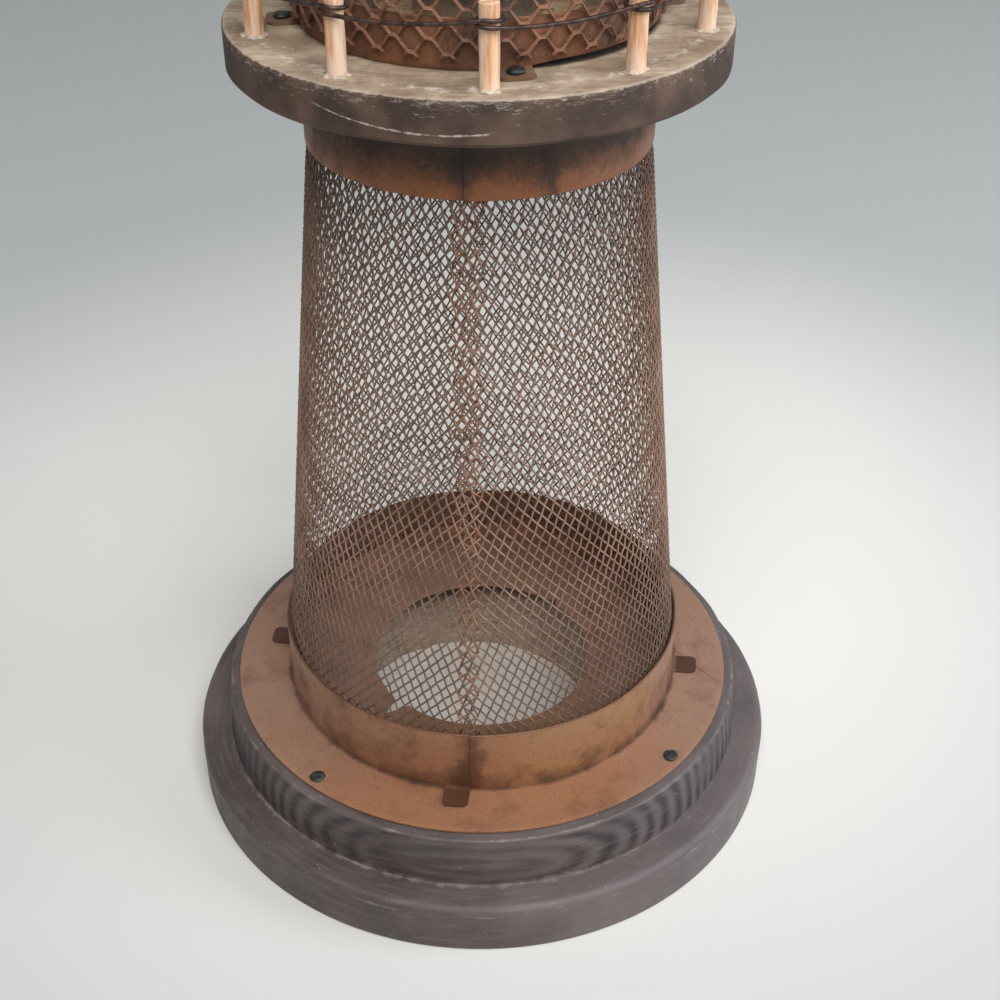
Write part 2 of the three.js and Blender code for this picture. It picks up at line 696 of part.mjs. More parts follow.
// A sheet with a front and a back face, whose walls follow from the front's free edges
function sheetSolid(front, back, faces) {
  const count = front.length;
  const edges = new Set();
  faces.forEach(([a, b, c]) => [[a, b], [b, c], [c, a]].forEach(([p, q]) => edges.add(p * count + q)));
  const triangles = [];
  faces.forEach(([a, b, c]) => triangles.push(a, b, c, count + a, count + c, count + b));
  edges.forEach((key) => {
    const from = Math.floor(key / count);
    const to = key % count;
    if (!edges.has(to * count + from)) {
      triangles.push(to, from, count + from, to, count + from, count + to);
    }
  });
  const geometry = new THREE.BufferGeometry();
  const positions = [...front, ...back].flatMap((point) => point.toArray());
  geometry.setAttribute('position', new THREE.Float32BufferAttribute(positions, 3));
  geometry.setIndex(triangles);
  return geometry;
}

// Expanded metal, rolled: staggered rows of diamond openings, with every strand tilted as the press
// leaves it. The first and last rows are open diamonds, cut through when the sheet was snipped.
const expandedHalf = EXPANDED_RAISE + EXPANDED_GAUGE / 2;
const expandedRadius = ROOM_RADIUS + FIT + expandedHalf;
const expandedTop = ROOM_HEIGHT - FIT - (expandedRadius + expandedHalf - ROOM_RADIUS) * ROOF_FALL;
const expandedHeight = expandedTop - EXPANDED_LIFT;

function expandedSleeve() {
  const halfWidth = (Math.PI * expandedRadius) / EXPANDED_COLUMNS;
  const halfHeight = expandedHeight / (EXPANDED_ROWS + 1);
  const edgeDistance = (halfWidth * halfHeight) / Math.hypot(halfWidth, halfHeight);
  const opening = 1 - EXPANDED_STRAND / 2 / edgeDistance;
  const corners = { left: [-1, 0], top: [0, 1], right: [1, 0], bottom: [0, -1] };
  const front = [];
  const back = [];
  const numbers = new Map();
  const firstRow = -1;

  // Number of one corner of the diamond in a row and column, made when it is first asked for
  function corner(row, column, name) {
    const turnedColumn = (column + 2 * EXPANDED_COLUMNS) % (2 * EXPANDED_COLUMNS);
    const key = `${row} ${turnedColumn} ${name}`;
    if (!numbers.has(key)) {
      const [aside, up] = corners[name];
      const degrees = (FULL_TURN * (turnedColumn + aside * opening)) / (2 * EXPANDED_COLUMNS);
      const height = (row + 1 + up * opening) * halfHeight;
      const radius = expandedRadius + EXPANDED_RAISE * up;
      numbers.set(key, front.length);
      front.push(onCircle(radius + EXPANDED_GAUGE / 2, degrees, height));
      back.push(onCircle(radius - EXPANDED_GAUGE / 2, degrees, height));
    }
    return numbers.get(key);
  }

  const faces = [];
  for (let row = firstRow - 1; row < EXPANDED_ROWS; row += 1) {
    for (let pair = 0; pair < EXPANDED_COLUMNS; pair += 1) {
      const column = 2 * pair + Math.abs(row % 2);
      const knuckle = [corner(row + 1, column + 1, 'left'), corner(row + 1, column - 1, 'right')];
      if (row >= firstRow) {
        const [top, right, left] = ['top', 'right', 'left'].map((name) => corner(row, column, name));
        const rightBottom = corner(row + 1, column + 1, 'bottom');
        const leftBottom = corner(row + 1, column - 1, 'bottom');
        faces.push([right, rightBottom, knuckle[0]], [right, knuckle[0], top]);
        faces.push([top, knuckle[1], leftBottom], [top, leftBottom, left]);
        faces.push([top, knuckle[0], knuckle[1]]);
      }
      if (row + 1 < EXPANDED_ROWS) {
        faces.push([knuckle[1], knuckle[0], corner(row + 2, column, 'bottom')]);
      }
    }
  }
  return sheetSolid(front, back, faces);
}

place(room, 'room_band', roomBand(), rustyTin);
bandTabAngles.forEach((angle, i) => {
  const nail = place(room, `band_nail_${i + 1}`, nailShape(), nailIron);
  nail.position.copy(onCircle(BAND_NAIL_CIRCLE, angle, TIN + SEAT));
});
place(room, 'room_mesh', expandedSleeve(), rustyTin).position.z = EXPANDED_LIFT;
const hoop = tubeOf(ROOM_RADIUS, ROOM_RADIUS - TIN, ROOM_HEIGHT - HOOP_HEIGHT, ROOM_HEIGHT);
place(room, 'top_hoop', hoop, rustyTin);

// Drip pan and tealight
function dripPan() {
  return turned([
    [0, 0],
    [PAN_RADIUS - TIN, 0],
    [PAN_RADIUS, PAN_RIM],
    [PAN_RADIUS - TIN, PAN_RIM],
    [PAN_RADIUS - 2 * TIN, TIN],
    [0, TIN],
  ], CUP_SIDES);
}

function candleCup() {
  const inner = CANDLE_RADIUS - CANDLE_FOIL;
  return turned([
    [0, 0],
    [CANDLE_RADIUS, 0],
    [CANDLE_RADIUS, CANDLE_HEIGHT - CANDLE_FOIL],
    [CANDLE_RADIUS + CANDLE_LIP, CANDLE_HEIGHT - CANDLE_FOIL],
    [CANDLE_RADIUS + CANDLE_LIP, CANDLE_HEIGHT],
    [inner, CANDLE_HEIGHT],
    [inner, CANDLE_FOIL],
    [0, CANDLE_FOIL],
  ], CUP_SIDES);
}

const waxFoot = CANDLE_FOIL + SEAT;
const sustainerTop = waxFoot + SUSTAINER_HEIGHT;

function waxFill() {
  const rim = CANDLE_RADIUS - CANDLE_FOIL - FIT;
  return turned([
    [SUSTAINER_RADIUS + FIT, waxFoot],
    [rim, waxFoot],
    [rim, waxFoot + WAX_DEPTH],
    [WICK_RADIUS + FIT, waxFoot + WAX_DEPTH],
    [WICK_RADIUS + FIT, sustainerTop + FIT],
    [SUSTAINER_RADIUS + FIT, sustainerTop + FIT],
  ], CUP_SIDES);
}

const candle = new THREE.Group();
candle.position.z = TIN + SEAT;
room.add(candle);
place(room, 'drip_pan', dripPan(), rustyTin);
place(candle, 'tealight_cup', candleCup(), foil);
place(candle, 'tealight_wax', waxFill(), wax);
place(candle, 'wick_sustainer', post(SUSTAINER_RADIUS, waxFoot, sustainerTop, DOWEL_SIDES), foil);
const wickTop = waxFoot + WAX_DEPTH + WICK_PROUD;
place(candle, 'wick', post(WICK_RADIUS, sustainerTop + SEAT, wickTop, DOWEL_SIDES), cotton);

// Roof: heights here are above the hoop's top edge
const roof = section(ROOM_FOOT + ROOM_HEIGHT);
const roofWall = TIN / Math.cos(THREE.MathUtils.degToRad(ROOF_SLOPE));
const roofUnderApex = FIT + ROOM_RADIUS * ROOF_FALL; // the underside just clears the hoop's outer edge
const eaveRadius = ROOM_RADIUS + EAVE_OVERHANG;
const stemHole = EYE_WIRE_RADIUS + FIT;

function underRoof(radius) {
  return roofUnderApex - radius * ROOF_FALL;
}

function roofCone() {
  const beadHeight = underRoof(eaveRadius) + roofWall / 2;
  const beadCentre = [eaveRadius, beadHeight];
  const beadIn = eaveRadius - EAVE_BEAD_RADIUS;
  const cone = turned([
    [stemHole, underRoof(stemHole)],
    [beadIn, underRoof(beadIn)],
    ...roundedEdge(beadCentre, EAVE_BEAD_RADIUS, EAVE_BEAD_FROM, EAVE_BEAD_TO, EAVE_BEAD_STEPS),
    [beadIn, underRoof(beadIn) + roofWall],
    [stemHole, underRoof(stemHole) + roofWall],
  ]);
  const seamFrom = CAP_RADIUS + FIT;
  const seamTo = beadIn;
  const lift = (radius) => underRoof(radius) + roofWall / 2;
  const seamShape = new THREE.Shape([
    new THREE.Vector2(seamFrom, lift(seamFrom)),
    new THREE.Vector2(seamTo, lift(seamTo)),
    new THREE.Vector2(seamTo, lift(seamTo) + roofWall / 2 + ROOF_SEAM_PROUD),
    new THREE.Vector2(seamFrom, lift(seamFrom) + roofWall / 2 + ROOF_SEAM_PROUD),
  ]);
  const seam = new THREE.ExtrudeGeometry(seamShape, { depth: ROOF_SEAM_WIDTH, bevelEnabled: false })
    .translate(0, 0, -ROOF_SEAM_WIDTH / 2)
    .rotateX(Math.PI / 2)
    .rotateZ(Math.PI / 2);
  return joined([cone, seam]);
}

function roofSkirt() {
  const outer = ROOM_RADIUS - TIN - SKIRT_PLAY;
  const inner = outer - TIN;
  return turned([
    [inner, -SKIRT_DEPTH],
    [outer, -SKIRT_DEPTH],
    [outer, underRoof(outer) - FIT],
    [inner, underRoof(inner) - FIT],
  ]);
}

function aboveRoof(radius) {
  return underRoof(radius) + roofWall + FIT;
}

function roofCap() {
  return turned([
    [stemHole, aboveRoof(stemHole)],
    [CAP_RADIUS, aboveRoof(CAP_RADIUS)],
    [CAP_RADIUS, aboveRoof(CAP_RADIUS) + TIN],
    [CAP_RADIUS / 2, aboveRoof(CAP_RADIUS / 2) + TIN + CAP_RISE / 2],
    [stemHole, aboveRoof(stemHole) + TIN + CAP_RISE],
  ], CUP_SIDES);
}

const eyeHeight = aboveRoof(stemHole) + TIN + CAP_RISE + SEAT + EYE_RADIUS + EYE_WIRE_RADIUS;

function roofEye() {
  const loop = new THREE.TorusGeometry(EYE_RADIUS, EYE_WIRE_RADIUS, DOWEL_SIDES, 2 * DOWEL_SIDES)
    .rotateX(Math.PI / 2)
    .translate(0, 0, eyeHeight);
  const stemTop = eyeHeight - EYE_RADIUS;
  return joined([loop, post(EYE_WIRE_RADIUS, stemTop - EYE_STEM_LENGTH, stemTop, DOWEL_SIDES)]);
}

// The ring hangs in the eye and lies against the roof: the angle at which its far side comes to rest
function ringDroop() {
  let droop = 0;
  const clear = FIT + RING_WIRE_RADIUS / Math.cos(THREE.MathUtils.degToRad(ROOF_SLOPE));
  while (droop < FULL_TURN / 4) {
    const angle = THREE.MathUtils.degToRad(droop + RING_SWING_STEP);
    const reach = 2 * RING_RADIUS * Math.cos(angle);
    const farSide = eyeHeight - 2 * RING_RADIUS * Math.sin(angle);
    if (farSide < underRoof(reach) + roofWall + ROOF_SEAM_PROUD + clear) {
      break;
    }
    droop += RING_SWING_STEP;
  }
  return droop;
}

function ringShape() {
  return new THREE.TorusGeometry(RING_RADIUS, RING_WIRE_RADIUS, NAIL_SIDES, CUP_SIDES)
    .translate(RING_RADIUS, 0, 0);
}

place(roof, 'roof_cone', roofCone(), rustyTin);
place(roof, 'roof_skirt', roofSkirt(), rustyTin);
place(roof, 'roof_cap', roofCap(), rustyTin);
place(roof, 'roof_eye', roofEye(), railSteel);
const ring = place(roof, 'ring_handle', ringShape(), railSteel);
ring.position.z = eyeHeight;
ring.rotation.y = THREE.MathUtils.degToRad(ringDroop());
console.log(`ring: hinge height ${(ROOM_FOOT + ROOM_HEIGHT + eyeHeight).toFixed(2)} mm, `
  + `droop ${ringDroop().toFixed(2)} degrees`);

export default lantern;
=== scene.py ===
import json
import math

import bpy
from mathutils import Matrix, Vector, noise

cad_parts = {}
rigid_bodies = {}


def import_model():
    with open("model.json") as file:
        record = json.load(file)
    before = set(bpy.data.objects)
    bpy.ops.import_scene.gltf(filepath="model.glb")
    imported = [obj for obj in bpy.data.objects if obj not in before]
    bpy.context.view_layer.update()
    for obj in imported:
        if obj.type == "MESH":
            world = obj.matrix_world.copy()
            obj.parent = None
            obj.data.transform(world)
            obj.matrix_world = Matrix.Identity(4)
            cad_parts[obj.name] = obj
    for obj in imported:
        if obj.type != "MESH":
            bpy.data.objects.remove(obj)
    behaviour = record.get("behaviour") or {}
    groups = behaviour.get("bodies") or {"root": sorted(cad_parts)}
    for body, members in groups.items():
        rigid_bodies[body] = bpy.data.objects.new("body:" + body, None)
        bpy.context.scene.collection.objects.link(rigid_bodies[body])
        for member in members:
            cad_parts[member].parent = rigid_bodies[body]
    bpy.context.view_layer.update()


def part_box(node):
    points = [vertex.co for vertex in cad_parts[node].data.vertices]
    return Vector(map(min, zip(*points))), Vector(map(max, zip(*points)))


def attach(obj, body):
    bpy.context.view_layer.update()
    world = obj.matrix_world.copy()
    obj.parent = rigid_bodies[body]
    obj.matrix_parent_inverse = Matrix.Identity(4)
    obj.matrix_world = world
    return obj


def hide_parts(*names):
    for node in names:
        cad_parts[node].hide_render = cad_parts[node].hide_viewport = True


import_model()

# Camera: held a little above the gallery and looking down on the tower, so that the top of the lantern
# leaves the picture. Its place and lens follow from the outlines of the base, the collars and the deck.
MM = 0.001
CAMERA_PLACE = (6.42 * MM, -426.4 * MM, 408.0 * MM)
CAMERA_PITCH = 35.11  # degrees below the horizon
CAMERA_ROLL = 0.216
CAMERA_LENS = 53.83  # millimetres, on a sensor 36 mm wide

bpy.ops.object.camera_add(location=CAMERA_PLACE)
camera = bpy.context.object
camera.rotation_mode = "ZYX"
camera.rotation_euler = (math.radians(90 - CAMERA_PITCH), 0, math.radians(CAMERA_ROLL))
camera.data.sensor_width = 36
camera.data.lens = CAMERA_LENS
camera.data.clip_start = 10 * MM
bpy.context.scene.camera = camera

# Lower base board: a softwood disc turned on the lathe, with a rounded top edge and a rough hole sawn
# through it. It carries the lantern, and its dark satin paint is rubbed pale along the edges.
TURN_STEPS = 240
MERGE = 0.01 * MM
SHOULDER = 3.1 * MM
ARRIS = 0.6 * MM
BOARD_STEP = 3 * MM
HOLE_RADIUS = 48.5 * MM
HOLE_X = -5 * MM
HOLE_Y = 2.5 * MM
HOLE_REACH = 60 * MM
SAW_STEPS = 180
SAW_ROWS = 90
PAINT = "#463c3b"
PAINT_DARK = "#2c2625"
PAINT_WORN = "#5f5351"
PAINT_RUBBED = "#958b84"
PAINT_DUSTY = "#766863"
PAINT_LIT_RIGHT = "#6f6a6a"
SAWN_WOOD = "#cdbaa6"
SAWN_WOOD_DARK = "#7c6957"
SAWN_WOOD_IN_PLATE_SHADOW = "#2e2118"
BRUSH_RADIUS = 95 * MM  # where the brush marks have their true length
RING_PITCH = 4.6 * MM  # between two growth rings
RING_UNIT = 0.314  # a wave pattern's ring, as a share of its unit
PITH_RISE = 8 * MM  # the tree's middle lies at the front of the upper board, this far up
DUST_MIDDLE = -20  # degrees from the front
DUST_REACH = 62


def clear_selection():
    """Deselects everything, because an operator acts on all that is selected."""
    bpy.ops.object.select_all(action="DESELECT")


def on_circle(radius, degrees, height):
    """A point at an angle from the front, which grows towards +X."""
    angle = math.radians(degrees)
    return Vector((radius * math.sin(angle), -radius * math.cos(angle), height))


def arc(centre, radius, start, stop, steps):
    """Points of a round corner in a section, from one angle to another."""
    angles = [math.radians(start + (stop - start) * i / steps) for i in range(steps + 1)]
    return [(centre[0] + radius * math.cos(a), centre[1] + radius * math.sin(a)) for a in angles]


def fine(section, step):
    """The same section with points added, so that no stretch of it is longer than one step."""
    points = [section[0]]
    for here, there in zip(section, section[1:]):
        count = max(1, math.ceil(math.dist(here, there) / step))
        for i in range(1, count + 1):
            share = i / count
            points.append(tuple(a + (b - a) * share for a, b in zip(here, there)))
    return points


def traced(name, points):
    """A row of points joined by edges, drawn by extruding one point along the row."""
    clear_selection()
    bpy.ops.mesh.primitive_plane_add(size=MM)
    piece = bpy.context.object
    piece.name = piece.data.name = name
    bpy.ops.object.mode_set(mode="EDIT")
    bpy.ops.mesh.select_mode(type="VERT")
    bpy.ops.mesh.merge(type="CENTER")
    bpy.ops.transform.translate(value=points[0])
    for here, there in zip(points, points[1:]):
        bpy.ops.mesh.extrude_region_move(TRANSFORM_OT_translate={"value": tuple(there - here)})
    bpy.ops.object.mode_set(mode="OBJECT")
    return piece


def merge_points():
    """In edit mode, joins the points that meet, turns all faces outwards and leaves edit mode."""
    bpy.ops.mesh.select_all(action="SELECT")
    bpy.ops.mesh.remove_doubles(threshold=MERGE)
    bpy.ops.mesh.normals_make_consistent(inside=False)
    bpy.ops.object.mode_set(mode="OBJECT")


def spun(name, section, steps=TURN_STEPS, start=0.0):
    """Traces a section of (radius, height) points at one angle and spins it about the upright axis."""
    piece = traced(name, [on_circle(radius, start, height) for radius, height in section])
    bpy.ops.object.mode_set(mode="EDIT")
    bpy.ops.mesh.select_all(action="SELECT")
    bpy.ops.mesh.spin(steps=steps, angle=2 * math.pi, center=(0, 0, 0), axis=(0, 0, 1))
    merge_points()
    return piece


def roughen(piece, depth, lump, share=None, bites=False):
    """Moves each point along its normal, in lumps of one size: both ways, or only inwards as bites."""
    points = piece.data.vertices
    normals = [point.normal.copy() for point in points]
    for point, normal in zip(points, normals):
        amount = noise.noise(point.co / lump)
        if bites:
            amount = min(0.0, amount + 0.25)
        if share:
            amount *= share(point.co)
        point.co += normal * depth * amount
    piece.data.update()


def select_where(piece, kind, test):
    """In edit mode, selects the points, edges or faces whose middle and direction pass a test."""
    mesh = piece.data
    bpy.context.view_layer.objects.active = piece
    bpy.ops.object.mode_set(mode="EDIT")
    bpy.ops.mesh.select_mode(type=kind)
    bpy.ops.mesh.select_all(action="DESELECT")
    bpy.ops.object.mode_set(mode="OBJECT")
    if kind == "FACE":
        for face in mesh.polygons:
            face.select = test(face.center, face.normal)
    elif kind == "EDGE":
        for edge in mesh.edges:
            a, b = (mesh.vertices[i].co for i in edge.vertices)
            edge.select = test((a + b) / 2, (b - a).normalized())
    else:
        for point in mesh.vertices:
            point.select = test(point.co, point.normal)
    bpy.ops.object.mode_set(mode="EDIT")


def pick(piece):
    """Selects one piece alone and makes it the active one."""
    clear_selection()
    piece.select_set(True)
    bpy.context.view_layer.objects.active = piece


def apply_modifier(piece, kind, **settings):
    """Adds a modifier with its settings and applies it."""
    pick(piece)
    modifier = piece.modifiers.new(kind.lower(), kind)
    for name, value in settings.items():
        setattr(modifier, name, value)
    bpy.ops.object.modifier_apply(modifier=modifier.name)


def coat(piece, finish, degrees=35):
    """Gives a piece its finish, shades its round stretches smooth and keeps its sharp edges."""
    pick(piece)
    piece.data.materials.append(finish)
    bpy.ops.object.shade_smooth_by_angle(angle=math.radians(degrees))


def linear(colour):
    """An sRGB hex colour as linear RGBA."""
    shares = [int(colour[i:i + 2], 16) / 255 for i in (1, 3, 5)]
    return [c / 12.92 if c <= 0.04045 else ((c + 0.055) / 1.055) ** 2.4 for c in shares] + [1.0]


def fill(tree, node, sockets):
    """Fills or links a node's input sockets. A colour is given as its sRGB hex value."""
    for socket, value in sockets.items():
        if isinstance(value, bpy.types.Node):
            value = value.outputs[0]
        if isinstance(value, bpy.types.NodeSocket):
            tree.links.new(value, node.inputs[socket])
        else:
            node.inputs[socket].default_value = linear(value) if isinstance(value, str) else value


def add_node(tree, kind, sockets=None, **settings):
    """Adds a shader node with its settings, and fills or links its input sockets."""
    made = tree.nodes.new("ShaderNode" + kind)
    for name, value in settings.items():
        setattr(made, name, value)
    fill(tree, made, sockets or {})
    return made


def laid_over(tree, colour, shade, pattern, start, full, most=1.0):
    """Lays a shade over a colour: nothing where a pattern is at start, and most of it from full on."""
    share = add_node(tree, "MapRange", {"Value": pattern, "From Min": start, "From Max": full,
                                        "To Max": most})
    return add_node(tree, "MixRGB", {"Fac": share, "Color1": colour, "Color2": shade})


def blotched(tree, colour, shade, place, size, start, full, most=1.0, detail=2, rough=0.5):
    """Lays a shade over a colour in blotches of about one size. Gives the new colour and their pattern."""
    pattern = add_node(tree, "TexNoise", {"Vector": place, "Scale": 1 / size, "Detail": detail,
                                          "Roughness": rough})
    return laid_over(tree, colour, shade, pattern, start, full, most), pattern


def apart_from(tree, value, middle):
    """How far a value lies to either side of a middle one."""
    offset = add_node(tree, "Math", {0: value, 1: middle}, operation="SUBTRACT")
    return add_node(tree, "Math", {0: offset}, operation="ABSOLUTE")


def new_material(name):
    """An empty material: itself, its tree, its shader and each point's place in metres."""
    material = bpy.data.materials.new(name)
    material.use_nodes = True
    tree = material.node_tree
    place = add_node(tree, "TexCoord").outputs["Object"]
    return material, tree, tree.nodes["Principled BSDF"], place


def around_axis(tree, place):
    """The angle from the front in radians, the distance from the axis and the height of each point."""
    apart = add_node(tree, "SeparateXYZ", {0: place})
    ahead = add_node(tree, "Math", {0: apart.outputs["Y"], 1: -1.0}, operation="MULTIPLY")
    angle = add_node(tree, "Math", {0: apart.outputs["X"], 1: ahead}, operation="ARCTAN2")
    flat = add_node(tree, "CombineXYZ", {"X": apart.outputs["X"], "Y": apart.outputs["Y"]})
    radius = add_node(tree, "VectorMath", {0: flat}, operation="LENGTH").outputs["Value"]
    return angle.outputs[0], radius, apart.outputs["Z"]


def painted_softwood(rims, ripple_foot, ripple_top):
    """Brushed satin paint on turned softwood: dark and soft in its shine, with the grain's ripples showing
    through on the upper board's side, pale scuffs, and bare rubbed lines along the rims."""
    material, tree, shader, place = new_material("satin_paint_on_softwood")
    angle, radius, height = around_axis(tree, place)
    colour, broad = blotched(tree, PAINT, PAINT_WORN, place, 38 * MM, 0.4, 0.66, detail=4)
    # Painted light: the paint is made paler over the right side, where more light falls.
    colour = laid_over(tree, colour, PAINT_LIT_RIGHT, angle, math.radians(8), math.radians(45), 0.3)

    # The board's growth rings show through the paint. They run along X about a pith at the board's front,
    # so they close into ovals there and stand nearly upright at the sides.
    pith = (0, -rims[1][0], ripple_foot + PITH_RISE)
    from_pith = add_node(tree, "VectorMath", {0: place, 1: pith}, operation="SUBTRACT")
    ripple = add_node(tree, "TexWave", {"Vector": from_pith, "Scale": RING_UNIT / RING_PITCH,
                                        "Distortion": 1.8, "Detail": 3.0, "Detail Scale": 0.6},
                      wave_type="RINGS", rings_direction="X")
    patchy = add_node(tree, "MapRange", {"Value": broad, "From Min": 0.3, "From Max": 0.5, "To Max": 0.9})
    aside = apart_from(tree, angle, 0)
    steep = add_node(tree, "MapRange", {"Value": aside, "From Min": math.radians(10),
                                        "From Max": math.radians(24), "To Min": 0.5})
    shown = add_node(tree, "Math", {0: patchy, 1: steep}, operation="MULTIPLY")
    above = add_node(tree, "MapRange", {"Value": height, "From Min": ripple_foot,
                                        "From Max": ripple_foot + MM, "To Max": shown})
    on_side = add_node(tree, "MapRange", {"Value": height, "From Min": ripple_top,
                                          "From Max": ripple_top - MM, "To Max": above})
    rings = add_node(tree, "Math", {0: ripple, 1: on_side}, operation="MULTIPLY")
    colour = add_node(tree, "MixRGB", {"Fac": rings, "Color1": colour, "Color2": PAINT_DARK})

    # Brush marks run round the board and hold dust
    along = add_node(tree, "Math", {0: angle, 1: BRUSH_RADIUS}, operation="MULTIPLY")
    brushed = add_node(tree, "CombineXYZ", {"X": along, "Y": height, "Z": radius})
    drawn = add_node(tree, "VectorMath", {0: brushed, 1: (0.12, 1, 1)}, operation="MULTIPLY")
    colour, stroke = blotched(tree, colour, PAINT_DUSTY, drawn, 1.6 * MM, 0.48, 0.7, 0.3, detail=4)

    # Scuffs and specks of dust
    colour, scuff = blotched(tree, colour, PAINT_WORN, place, 9 * MM, 0.6, 0.78, 0.55, detail=6, rough=0.7)
    colour = blotched(tree, colour, PAINT_RUBBED, place, 1.3 * MM, 0.7, 0.76, 0.6)[0]

    # Rubbed lines along each rim, broken up by the same noise as the scuffs
    section_place = add_node(tree, "CombineXYZ", {"X": radius, "Y": height})
    nearest = 1.0
    for rim_place in rims:
        rim = add_node(tree, "VectorMath", {0: section_place, 1: (*rim_place, 0)}, operation="DISTANCE")
        nearest = add_node(tree, "Math", {0: nearest, 1: rim.outputs["Value"]}, operation="MINIMUM")
    ragged = add_node(tree, "Math", {0: scuff, 1: -5 * MM, 2: nearest}, operation="MULTIPLY_ADD")
    colour = laid_over(tree, colour, PAINT_RUBBED, ragged, -2.2 * MM, -3.2 * MM, 0.6)

    # Dust and scraped paint in the corner between the boards, thick at the front
    corner = add_node(tree, "VectorMath", {0: section_place, 1: (*rims[1], 0)}, operation="DISTANCE")
    scrape = add_node(tree, "TexNoise", {"Vector": place, "Scale": 1 / (6 * MM), "Detail": 6,
                                         "Roughness": 0.75})
    scraped = add_node(tree, "Math", {0: scrape, 1: -9 * MM, 2: corner.outputs["Value"]},
                       operation="MULTIPLY_ADD")
    turn = apart_from(tree, angle, math.radians(DUST_MIDDLE))
    front = add_node(tree, "MapRange", {"Value": turn, "From Min": math.radians(DUST_REACH),
                                        "From Max": math.radians(DUST_REACH - 30), "To Max": 0.6})
    colour = laid_over(tree, colour, PAINT_RUBBED, scraped, -3.2 * MM, -5.5 * MM, front)

    # Bare sawn wood in the hole, with the saw's marks round its wall and a painted shadow of the plate's
    # overhang along the wall's top
    from_hole = add_node(tree, "VectorMath", {0: place, 1: (HOLE_X, HOLE_Y, 0)}, operation="SUBTRACT")
    level = add_node(tree, "VectorMath", {0: from_hole, 1: (1, 1, 0)}, operation="MULTIPLY")
    hole_reach = add_node(tree, "VectorMath", {0: level}, operation="LENGTH").outputs["Value"]
    flattened = add_node(tree, "VectorMath", {0: place, 1: (1, 1, 5)}, operation="MULTIPLY")
    sawn = blotched(tree, SAWN_WOOD_DARK, SAWN_WOOD, flattened, 3.5 * MM, 0.35, 0.65, detail=5, rough=0.7)[0]
    sideways = add_node(tree, "SeparateXYZ", {0: from_hole}).outputs["X"]
    # Painted shadow: the plate's overhang shades the top of the wall, reaching lower down it towards the
    # left.
    plate_shadow_line = add_node(tree, "Math", {0: sideways, 1: -0.11, 2: height}, operation="MULTIPLY_ADD")
    sawn = laid_over(tree, sawn, SAWN_WOOD_IN_PLATE_SHADOW, plate_shadow_line, ripple_top - 14.5 * MM, ripple_top - 10 * MM,
                     0.92)
    colour = laid_over(tree, colour, sawn, hole_reach, HOLE_RADIUS + 1.2 * MM, HOLE_RADIUS + 0.8 * MM)

    relief = add_node(tree, "Math", {0: rings, 1: 0.5, 2: stroke}, operation="MULTIPLY_ADD")
    bump = add_node(tree, "Bump", {"Height": relief, "Distance": 0.25 * MM, "Strength": 0.3})
    shine = add_node(tree, "MapRange", {"Value": scuff, "From Min": 0.3, "From Max": 0.7,
                                        "To Min": 0.44, "To Max": 0.7})
    fill(tree, shader, {"Base Color": colour, "Normal": bump, "Roughness": shine})
    return material


board_low, board_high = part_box("base_lower_board")
upper_low, upper_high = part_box("base_upper_board")
lower_section = [
    (0, board_low.z),
    (board_high.x - ARRIS, board_low.z),
    (board_high.x, board_low.z + ARRIS),
    *arc((board_high.x - SHOULDER, board_high.z - SHOULDER), SHOULDER, 0, 90, 6),
    (0, board_high.z),
]
lower_board = spun("lower_board", fine(lower_section, BOARD_STEP))
roughen(lower_board, depth=0.25 * MM, lump=22 * MM, share=lambda place: min(1.0, place.z / (2 * MM)))
roughen(lower_board, depth=0.7 * MM, lump=3.5 * MM, bites=True,
        share=lambda place: max(0.0, 1 - abs(place.z - board_high.z + SHOULDER) / (4 * MM)))

# The saw's path through both boards: a wavering round wall, scored by the teeth
bpy.ops.mesh.primitive_cylinder_add(vertices=SAW_STEPS, radius=HOLE_RADIUS, depth=2 * HOLE_REACH,
                                    location=(HOLE_X, HOLE_Y, 0))
saw_path = bpy.context.object
bpy.ops.object.transform_apply()
select_where(saw_path, "EDGE", lambda middle, way: abs(way.z) > 0.9)
bpy.ops.mesh.subdivide(number_cuts=SAW_ROWS)
bpy.ops.object.mode_set(mode="OBJECT")
roughen(saw_path, depth=1.0 * MM, lump=24 * MM)
roughen(saw_path, depth=0.5 * MM, lump=2.2 * MM)
apply_modifier(lower_board, "BOOLEAN", operation="DIFFERENCE", object=saw_path, solver="EXACT")

rims = [
    (board_high.x, board_high.z - SHOULDER),
    (upper_high.x, upper_low.z),
    (upper_high.x - 2 * MM, upper_high.z),
]
paint = painted_softwood(rims, upper_low.z, upper_high.z)
coat(lower_board, paint)
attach(lower_board, "lantern")
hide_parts("base_lower_board")

# Upper base board: a second disc, turned with a slight taper, glued on the first and painted with it.
# The same sawn hole runs through it.
UPPER_TAPER = 1.5 * MM
UPPER_EDGE = 1.2 * MM
top_radius = upper_high.x - UPPER_TAPER
upper_section = [
    (0, upper_low.z),
    (upper_high.x, upper_low.z),
    (top_radius + 0.02 * MM, upper_high.z - UPPER_EDGE - 0.3 * MM),
    *arc((top_radius - UPPER_EDGE, upper_high.z - UPPER_EDGE), UPPER_EDGE, 0, 90, 4),
    (0, upper_high.z),
]
upper_board = spun("upper_board", fine(upper_section, BOARD_STEP * 0.6))


def on_upper_side(place):
    """1 on the upper board's side and 0 on its flat faces."""
    return 1.0 if math.hypot(place.x, place.y) > top_radius - UPPER_EDGE else 0.0


roughen(upper_board, depth=0.3 * MM, lump=14 * MM, share=on_upper_side)
roughen(upper_board, depth=0.6 * MM, lump=3 * MM, share=on_upper_side, bites=True)
apply_modifier(upper_board, "BOOLEAN", operation="DIFFERENCE", object=saw_path, solver="EXACT")
bpy.data.objects.remove(saw_path)
coat(upper_board, paint)
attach(upper_board, "lantern")
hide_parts("base_upper_board")

